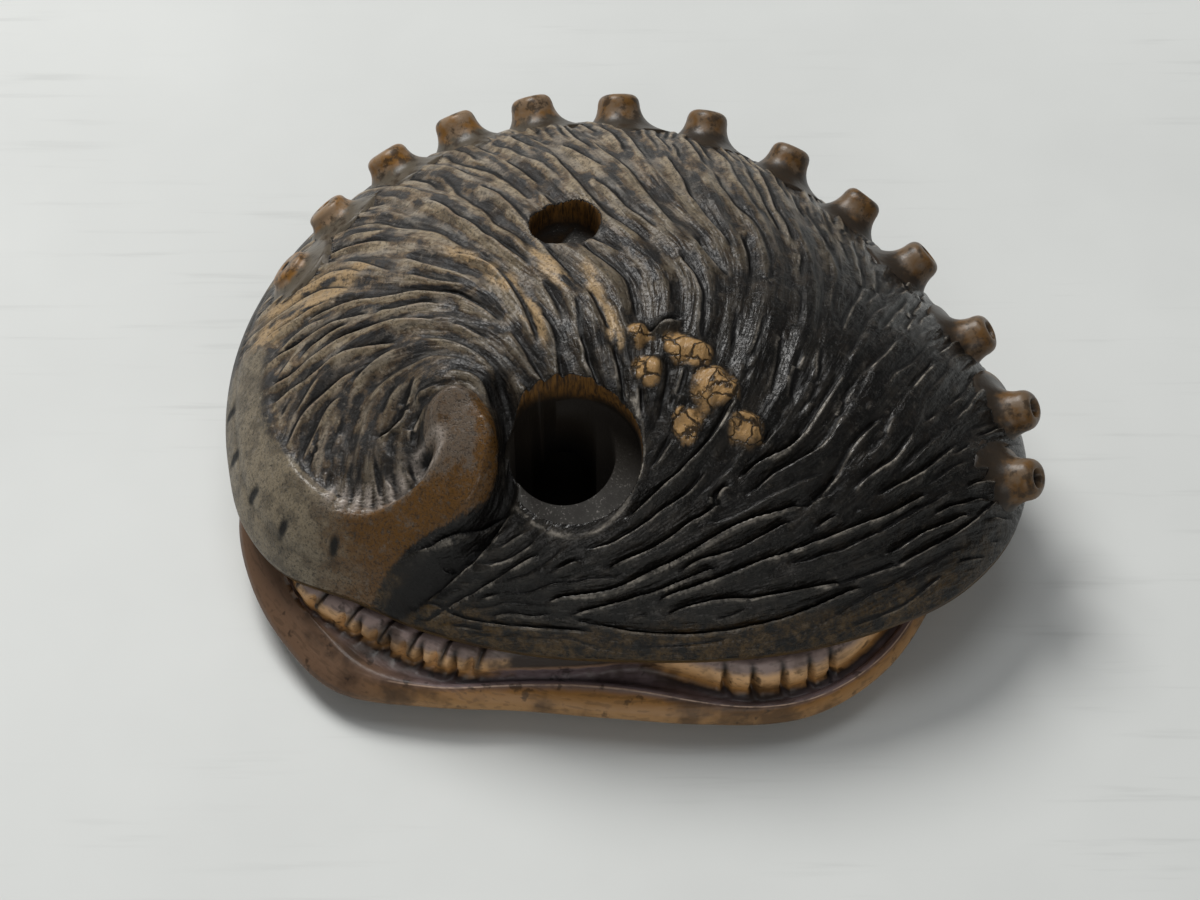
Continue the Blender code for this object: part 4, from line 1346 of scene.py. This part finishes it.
def streaks(tree, group, scale):
    """The streak group's value at that scale, its steps a third of the noise's size."""
    position = own_place(tree)
    flow_at = add(tree, "ShaderNodeAttribute", attribute_name="flow").outputs["Vector"]
    node = add(tree, "ShaderNodeGroup")
    node.node_tree = group
    tree.links.new(position, node.inputs["Position"])
    tree.links.new(flow_at, node.inputs["Flow"])
    node.inputs["Scale"].default_value = scale
    node.inputs["Step"].default_value = 0.36 / scale
    return node.outputs["Streak"]


def new_material(name):
    """A material with its node tree and the shader's node."""
    material = bpy.data.materials.new(name)
    material.use_nodes = True
    tree = material.node_tree
    return material, tree, tree.nodes["Principled BSDF"]


def finish_shader(tree, shader, colour, roughness, height):
    """Feeds the shader its colour, roughness and fine relief, the height in metres."""
    tree.links.new(colour, shader.inputs["Base Color"])
    tree.links.new(roughness, shader.inputs["Roughness"])
    shader.inputs["Specular IOR Level"].default_value = SHEEN
    bump = add(tree, "ShaderNodeBump", {"Strength": 1.0, "Distance": 1.0, "Height": height})
    tree.links.new(bump.outputs["Normal"], shader.inputs["Normal"])


def shell_material(group):
    """Black stain over brown: greyer and browner towards the far left, as stain with painted sheen; pale
    on the lips of the folds, as wear and a painted highlight, darker in their valleys and black in their
    cuts, as painted shade; bare in the worn streaks, brown and gold on the band, tan and cracked on the
    barnacles, with a painted highlight on the knuckles of the whorl."""
    material, tree, shader = new_material("stained_shell")
    position = own_place(tree)
    carved = maths(tree, "SUBTRACT", 1.0, product(tree, mark(tree, "smooth"), 0.85))
    fine = product(tree, streaks(tree, group, 4200.0), carved)
    coarse = product(tree, streaks(tree, group, 1500.0), carved)
    patches = grain(tree, position, 330.0, 4.0, 0.6)
    blotches = grain(tree, position, 820.0, 4.0, 0.65)
    speckle = grain(tree, position, 9000.0, 2.0, 0.6)
    small = grain(tree, position, 2100.0, 4.0, 0.7)
    lip, cut, grey = mark(tree, "lip"), mark(tree, "cut"), mark(tree, "grey")
    # Greyer and paler towards the far, upper-left side: stain, and painted sheen from the light behind
    wear_and_sheen_share = product(tree, grey, scaled(tree, patches, 1.0, 0.45), clamp=True)
    # Fold tops paler and valleys darker: wear, and painted shade in the valleys
    tops = maths(tree, "ADD", mark(tree, "high"), scaled(tree, coarse, 0.5, -0.25))
    tops = between(tree, scaled(tree, small, 1.0, maths(tree, "ADD", tops, -0.5)), 0.05, 1.05)
    tone_by_height = mixed(tree, between(tree, tops, 0.1, 0.5), GREY_DEEP, WARM_BROWN)
    tone_by_height = mixed(tree, between(tree, tops, 0.4, 1.0), tone_by_height, GREY_STAIN_AND_SHEEN)
    colour = mixed(tree, wear_and_sheen_share, BLACK_STAIN, tone_by_height)
    browned = product(tree, between(tree, blotches, 0.46, 0.62), scaled(tree, grey, 0.5, 0.15))
    colour = mixed(tree, browned, colour, BROWN_STAIN)
    # Paler streaks, more on the far side: wear and painted sheen
    lighter = product(tree, between(tree, coarse, 0.45, 1.0), scaled(tree, grey, 0.4, 0.04))
    colour = mixed(tree, lighter, colour, PALE_WEAR_AND_HIGHLIGHT)
    darker = product(tree, between(tree, fine, 0.5, 0.1), scaled(tree, grey, -0.35, 0.6))
    colour = mixed(tree, darker, colour, BLACK_STAIN)
    # Lips of the folds paler: wear, and a painted highlight along each crest
    keen = maths(tree, "MAXIMUM", between(tree, lip, 0.50, 0.90), product(tree, lip, 0.25))
    on_lip = product(tree, keen, scaled(tree, fine, 0.65, 0.35))
    on_lip = product(tree, on_lip, between(tree, blotches, 0.42, 0.62, 0.22, 1.0))
    lip_tone = mixed(tree, product(tree, grey, between(tree, blotches, 0.42, 0.56)), PALE_WEAR_AND_HIGHLIGHT, WORN_TAN)
    colour = mixed(tree, on_lip, colour, lip_tone)
    rim_share = scaled(tree, small, 0.5, product(tree, blotches, 0.5))
    rim_share = product(tree, mark(tree, "shell_rim"), between(tree, rim_share, 0.40, 0.62))
    colour = mixed(tree, product(tree, rim_share, 0.85), colour, RIM_OLIVE)
    ragged = between(tree, scaled(tree, coarse, 0.5, blotches), 0.50, 0.72)
    colour = mixed(tree, product(tree, mark(tree, "worn"), ragged), colour, BARE_WOOD)
    # Painted highlight on the knuckles of the whorl and on the pocket's rim
    knuckle_glint = product(tree, mark(tree, "knuckle_highlight"), between(tree, small, 0.38, 0.62, 0.5, 1.0))
    sides = add(tree, "ShaderNodeSeparateXYZ", {0: position})
    mottle = scaled(tree, small, 0.6, product(tree, blotches, 0.4))
    outer = maths(tree, "MAXIMUM", between(tree, sides.outputs["Y"], -0.0120, -0.0136),
                  between(tree, sides.outputs["X"], -0.0090, -0.0080))
    outer = scaled(tree, outer, 0.17, -0.06)
    golden = between(tree, maths(tree, "ADD", mottle, outer), 0.44, 0.60)
    band_tone = mixed(tree, golden, BAND_BROWN, BAND_GOLD)
    band_tone = mixed(tree, product(tree, between(tree, mottle, 0.53, 0.66), 0.75), band_tone, BROWN_STAIN)
    olive = mixed(tree, between(tree, blotches, 0.42, 0.62), MARGIN_OLIVE, MARGIN_DARK)
    leftward = scaled(tree, blotches, 0.004, sides.outputs["X"])
    band_tone = mixed(tree, between(tree, leftward, -0.0125, -0.0170), band_tone, olive)
    band_tone = mixed(tree, product(tree, between(tree, speckle, 0.5, 0.62), 0.3), band_tone, BLACK_STAIN)
    on_top = between(tree, scaled(tree, small, 0.9, mark(tree, "band")), 0.65, 1.20)
    colour = mixed(tree, on_top, colour, band_tone)
    colour = mixed(tree, knuckle_glint, colour, KNUCKLE_HIGHLIGHT)
    bent = add(tree, "ShaderNodeTexNoise", {"Vector": position, "Scale": 900.0, "Detail": 3.0})
    bend = add(tree, "ShaderNodeVectorMath", {0: bent.outputs["Color"]}, operation="SCALE")
    bend.inputs["Scale"].default_value = 0.0013
    moved = add(tree, "ShaderNodeVectorMath", {0: position, 1: bend.outputs[0]}, operation="ADD")
    cracks = add(tree, "ShaderNodeTexVoronoi", {"Vector": moved.outputs[0], "Scale": 900.0},
                 feature="DISTANCE_TO_EDGE")
    broken = scaled(tree, blotches, 0.4, -0.2)
    crack = between(tree, maths(tree, "ADD", broken, cracks.outputs["Distance"]), 0.10, 0.0)
    tan = mixed(tree, product(tree, crack, 0.9), BARNACLE_TAN, SHADE_AND_STAIN_BLACK)
    tan = mixed(tree, product(tree, between(tree, blotches, 0.52, 0.66), 0.8), tan, BROWN_STAIN)
    pits = between(tree, grain(tree, position, 5200.0, 3.0, 0.75), 0.50, 0.36)
    colour = mixed(tree, product(tree, pits, 0.55), colour, BLACK_STAIN)
    # Pale rubs, more on the far side: wear and painted sheen
    rubs_and_sheen = product(tree, between(tree, small, 0.55, 0.72), scaled(tree, grey, 0.25, 0.10))
    colour = mixed(tree, rubs_and_sheen, colour, PALE_WEAR_AND_HIGHLIGHT)
    colour = mixed(tree, mark(tree, "barnacle"), colour, tan)
    # Painted shade: black in the fold cuts, the margin line, the dimples, the suture groove and the pocket
    colour = mixed(tree, between(tree, cut, 0.12, 0.75, 0.0, 0.97), colour, SHADE_AND_STAIN_BLACK)
    rough = scaled(tree, patches, 0.26, scaled(tree, grey, 0.18, 0.15))
    rough = scaled(tree, cut, 0.2, rough)
    rough = scaled(tree, maths(tree, "ADD", lip, mark(tree, "band")), -0.07, rough)
    height = product(tree, fine, 0.000038)
    height = scaled(tree, coarse, 0.00006, height)
    height = scaled(tree, speckle, 0.000007, height)
    height = scaled(tree, pits, -0.000012, height)
    height = scaled(tree, small, 0.00001, height)
    height = scaled(tree, product(tree, crack, mark(tree, "barnacle")), -0.00012, height)
    finish_shader(tree, shader, colour, rough, height)
    return material


# Tones down the side of the foot, by place from the shell's edge to the underside; the near-black stops
# at 0.19 and 0.525 are painted shadow in the groove under the shell's lip and painted shade in the crease
# below the frill
FOOT_TONES = (
    (0.0, (0.045, 0.030, 0.012)), (0.05, (0.085, 0.050, 0.016)), (0.12, (0.050, 0.030, 0.014)),
    (0.19, (0.008, 0.006, 0.004)), (0.26, (0.060, 0.040, 0.034)), (0.305, (0.230, 0.175, 0.165)),
    (0.39, (0.280, 0.210, 0.185)), (0.415, (0.62, 0.38, 0.19)), (0.49, (0.46, 0.24, 0.085)),
    (0.525, (0.020, 0.013, 0.012)), (0.56, (0.140, 0.105, 0.110)), (0.665, (0.200, 0.150, 0.155)),
    (0.70, (0.180, 0.110, 0.080)), (0.73, (0.27, 0.130, 0.035)), (0.80, (0.36, 0.205, 0.085)),
    (0.92, (0.25, 0.155, 0.085)), (1.0, (0.16, 0.10, 0.058)),
)
CREASE_PALE = (0.48, 0.34, 0.25, 1)
CREASE_PLACE = 0.69


def foot_material(group):
    """The flesh below the shell: olive lip, golden frill with a grey top, purple-brown hollow, pale
    crease and light brown side with dark stains; painted shadow under the shell's lip and painted shade
    in the groove, in the crease below the frill and in the frill's notches."""
    material, tree, shader = new_material("stained_foot")
    position = own_place(tree)
    patches = grain(tree, position, 260.0, 4.0, 0.6)
    spots = grain(tree, position, 900.0, 3.0, 0.6)
    speckle = grain(tree, position, 7000.0, 2.0, 0.6)
    fine = streaks(tree, group, 4200.0)
    down = mark(tree, "down")
    place = maths(tree, "ADD", down, scaled(tree, spots, 0.03, -0.015))
    # Near-black stops in the ramp: painted shadow in the groove under the shell's lip and painted shade in
    # the crease below the frill
    ramp = add(tree, "ShaderNodeValToRGB", {"Fac": place})
    stops = ramp.color_ramp.elements
    while len(stops) < len(FOOT_TONES):
        stops.new(0.5)
    for stop, (at, tone) in zip(stops, FOOT_TONES):
        stop.position = at
        stop.color = (*tone, 1)
    colour = ramp.outputs["Color"]
    bare = between(tree, scaled(tree, spots, 0.3, mark(tree, "frill")), 0.35, 0.55)
    plain = maths(tree, "SUBTRACT", 1.0, bare)
    # Painted shadow under the shell's lip, over the groove and the frill face, where no bare frill stands
    lip_shadow = product(tree, between(tree, down, 0.47, 0.43), between(tree, down, 0.12, 0.20))
    colour = mixed(tree, product(tree, plain, lip_shadow), colour, LIP_SHADOW_BLACK)
    flat_part = product(tree, between(tree, down, 0.43, 0.47), between(tree, down, 0.68, 0.62))
    colour = mixed(tree, product(tree, plain, flat_part), colour, FLESH_PURPLE)
    left_side = maths(tree, "SUBTRACT", 1.0, mark(tree, "grey"))
    left_end = product(tree, left_side, between(tree, down, 0.50, 0.60))
    colour = mixed(tree, product(tree, left_end, between(tree, down, 1.15, 0.85)), colour, FLESH_DARK)
    stained = product(tree, between(tree, patches, 0.48, 0.66), 0.7)
    colour = mixed(tree, stained, colour, FOOT_STAIN)
    from_crease = maths(tree, "ABSOLUTE", maths(tree, "SUBTRACT", down, CREASE_PLACE))
    crease = product(tree, between(tree, from_crease, 0.010, 0.002), mark(tree, "grey"))
    crease = product(tree, crease, between(tree, spots, 0.30, 0.55))
    colour = mixed(tree, crease, colour, CREASE_PALE)
    colour = mixed(tree, product(tree, between(tree, spots, 0.60, 0.68), 0.6), colour, SHADE_AND_STAIN_BLACK)
    colour = mixed(tree, product(tree, between(tree, fine, 0.4, 0.1), 0.3), colour, BROWN_STAIN)
    # Painted shade in the frill's notches
    colour = mixed(tree, product(tree, mark(tree, "cut"), 0.96, clamp=True), colour, SHADE_AND_STAIN_BLACK)
    rough = scaled(tree, patches, 0.25, 0.22)
    height = product(tree, fine, 0.00001)
    height = scaled(tree, speckle, 0.000004, height)
    finish_shader(tree, shader, colour, rough, height)
    return material


def pore_material():
    """Pores worn to warm brown, golden low on the side, dark at the foot, and black in the crater as
    painted shade.
    """
    material, tree, shader = new_material("rubbed_pores")
    position = own_place(tree)
    patches = grain(tree, position, 800.0, 3.0, 0.6)
    speckle = grain(tree, position, 7000.0, 2.0, 0.6)
    up = mark(tree, "up")
    colour = mixed(tree, between(tree, patches, 0.4, 0.62), PORE_BROWN, PORE_GOLD)
    ragged = maths(tree, "ADD", up, scaled(tree, grain(tree, position, 1700.0), 0.7, -0.35))
    leftward = between(tree, add(tree, "ShaderNodeSeparateXYZ", {0: position}).outputs["X"], 0.010, -0.016)
    foot_tone = mixed(tree, leftward, PORE_FOOT, GREY_FOOT)
    colour = mixed(tree, between(tree, ragged, 0.42, 0.06), colour, foot_tone)
    colour = mixed(tree, product(tree, between(tree, ragged, 0.85, 1.1), 0.3), colour, WORN_TAN)
    stains = between(tree, grain(tree, position, 1300.0, 4.0, 0.7), 0.48, 0.62)
    colour = mixed(tree, product(tree, stains, 0.8), colour, BROWN_STAIN)
    colour = mixed(tree, scaled(tree, leftward, -0.5, 0.5), colour, BROWN_STAIN)
    # Painted shade in the crater
    colour = mixed(tree, mark(tree, "crater"), colour, SHADE_AND_STAIN_BLACK)
    rough = scaled(tree, patches, 0.2, 0.26)
    height = product(tree, speckle, 0.000006)
    height = scaled(tree, patches, 0.00006, height)
    finish_shader(tree, shader, colour, rough, height)
    return material


def hole_material():
    """Cut faces in the cord holes: charcoal on the recess floor, golden brown end grain on the upper
    walls, darkened further down as painted shade."""
    material, tree, shader = new_material("cord_hole_walls")
    position = own_place(tree)
    across = add(tree, "ShaderNodeMapping", {"Vector": position, "Scale": (1.0, 1.0, 0.15)})
    fibres = grain(tree, across.outputs[0], 6000.0, 3.0, 0.7)
    patches = grain(tree, position, 900.0, 3.0, 0.6)
    speckle = grain(tree, position, 8000.0, 2.0, 0.6)
    heights = add(tree, "ShaderNodeSeparateXYZ", {0: position}).outputs["Z"]
    normal = add(tree, "ShaderNodeNewGeometry").outputs["Normal"]
    level = between(tree, add(tree, "ShaderNodeSeparateXYZ", {0: normal}).outputs["Z"], 0.6, 0.85)
    wall = mixed(tree, between(tree, fibres, 0.35, 0.65), WALL_GOLD, WALL_BROWN)
    # Painted shade: the walls darken further down the holes
    ragged = scaled(tree, maths(tree, "ADD", fibres, patches), 0.0012, heights)
    wall = mixed(tree, between(tree, ragged, 0.0170, 0.0158), wall, HOLE_SHADE_BLACK)
    charcoal = mixed(tree, between(tree, speckle, 0.58, 0.70), CHARCOAL, CHARCOAL_PALE)
    charcoal = mixed(tree, between(tree, patches, 0.4, 0.65), charcoal, CHARCOAL_DARK)
    colour = mixed(tree, level, wall, charcoal)
    rough = scaled(tree, patches, 0.2, 0.6)
    height = product(tree, speckle, 0.00001)
    height = scaled(tree, fibres, 0.00003, height)
    finish_shader(tree, shader, colour, rough, height)
    return material


def mark_pores(mesh):
    """How far up its pore each vertex lies, 0 to 1, and whether it is in the crater."""
    points = vertices_of(mesh)
    up, crater = np.zeros(len(points)), np.zeros(len(points))
    for seat, direction, size in pore_places():
        along, across = about_axis(points, seat, direction)
        near = (across < PORE_BASE + PORE_FLARE) & (np.abs(along) < 2 * PORE_HEIGHT)
        tall = PORE_HEIGHT * PORE_STAND * size
        up[near] = np.maximum(up[near], np.clip(along[near] / tall, 0, 1))
        inside = near & (across < crater_radius(size)) & (along < tall - 0.25 * CRATER_DEPTH * size**2)
        crater[inside] = 1.0
    put_attribute(mesh, "up", up)
    put_attribute(mesh, "crater", crater)


def carving():
    """The whole netsuke as one mesh."""
    group = streak_group()
    finish = (shell_material(group), foot_material(group), pore_material(), hole_material())
    mesh = carved_mesh()
    for material in finish:
        mesh.materials.append(material)
    pores = []
    for k, (seat, direction, size) in enumerate(pore_places()):
        wobble = 0.035 + 0.015 * (k % 3)
        stand = aimed(seat, tuple(direction))
        pores.append(turned_mesh("pore", pore_profile(size), PORE_SIDES, stand, wobble))
    mesh = joined_by(mesh, pores, "UNION", PORE_SLOT)
    mesh = joined_by(mesh, hole_cutters(), "DIFFERENCE", HOLE_SLOT)
    mesh = thinned(softened(mesh))
    mesh.name = "netsuke_carving"
    mark_pores(mesh)
    mesh.shade_smooth()
    item = new_object("netsuke_carving", mesh)
    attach(item, "root")
    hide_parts("netsuke")
    return item


# Stage
CAMERA_AT = (-0.001725, -0.12051, 0.14429)
CAMERA_PITCH = 40.0
CAMERA_LENS = 92.0
FLOOR_HALF = 1.5


def add_camera():
    camera = bpy.data.cameras.new("camera")
    camera.lens = CAMERA_LENS
    camera.sensor_width = 36.0
    camera.clip_start = 0.005
    item = new_object("camera", camera)
    item.location = CAMERA_AT
    item.rotation_euler = (math.radians(CAMERA_PITCH), 0, 0)
    bpy.context.scene.camera = item


def add_floor():
    mesh = bpy.data.meshes.new("floor")
    corners = [(-FLOOR_HALF, -FLOOR_HALF, 0), (FLOOR_HALF, -FLOOR_HALF, 0), (FLOOR_HALF, FLOOR_HALF, 0),
               (-FLOOR_HALF, FLOOR_HALF, 0)]
    mesh.from_pydata(corners, [], [(0, 1, 2, 3)])
    material, tree, shader = new_material("pale_floor")
    position = own_place(tree)
    drawn = add(tree, "ShaderNodeMapping", {"Vector": position, "Scale": (60.0, 900.0, 1.0)})
    lines = between(tree, grain(tree, drawn.outputs[0], 1.0, 3.0, 0.6), 0.55, 0.75)
    where = between(tree, grain(tree, position, 45.0, 2.0), 0.40, 0.62)
    drawn_share = product(tree, product(tree, lines, where), 0.30)
    colour = mixed(tree, drawn_share, FLOOR_WHITE, FLOOR_GRAIN)
    clouds = between(tree, grain(tree, position, 30.0, 4.0, 0.6), 0.3, 0.7)
    colour = mixed(tree, product(tree, clouds, 0.16), colour, FLOOR_GRAIN)
    tree.links.new(colour, shader.inputs["Base Color"])
    shader.inputs["Roughness"].default_value = 0.6
    mesh.materials.append(material)
    new_object("floor", mesh)


def add_light(name, at, towards, size, power, colour=(1, 1, 1)):
    light = bpy.data.lights.new(name, "AREA")
    light.shape = "DISK"
    light.size = size
    light.energy = power
    light.color = colour
    item = new_object(name, light)
    item.location = at
    item.rotation_euler = (Vector(towards) - Vector(at)).to_track_quat("-Z", "Y").to_euler()


def add_lights():
    add_light("window", (-0.17, 0.265, 0.405), (0, 0, 0.01), 0.24, 2.25, (1.0, 0.99, 0.97))
    add_light("ceiling", (0.02, 0.10, 0.60), (0, 0, 0), 0.30, 0.6, (0.97, 0.985, 1.0))
    add_light("room", (0.02, -0.50, 0.22), (0, 0, 0.005), 0.35, 0.6, (1.0, 0.97, 0.93))
    world = bpy.data.worlds.new("soft_room")
    world.use_nodes = True
    world.node_tree.nodes["Background"].inputs["Color"].default_value = (0.93, 0.96, 1.0, 1)
    world.node_tree.nodes["Background"].inputs["Strength"].default_value = 0.15
    bpy.context.scene.world = world


bpy.context.scene.view_settings.view_transform = "Standard"
add_camera()
add_floor()
add_lights()
carving()
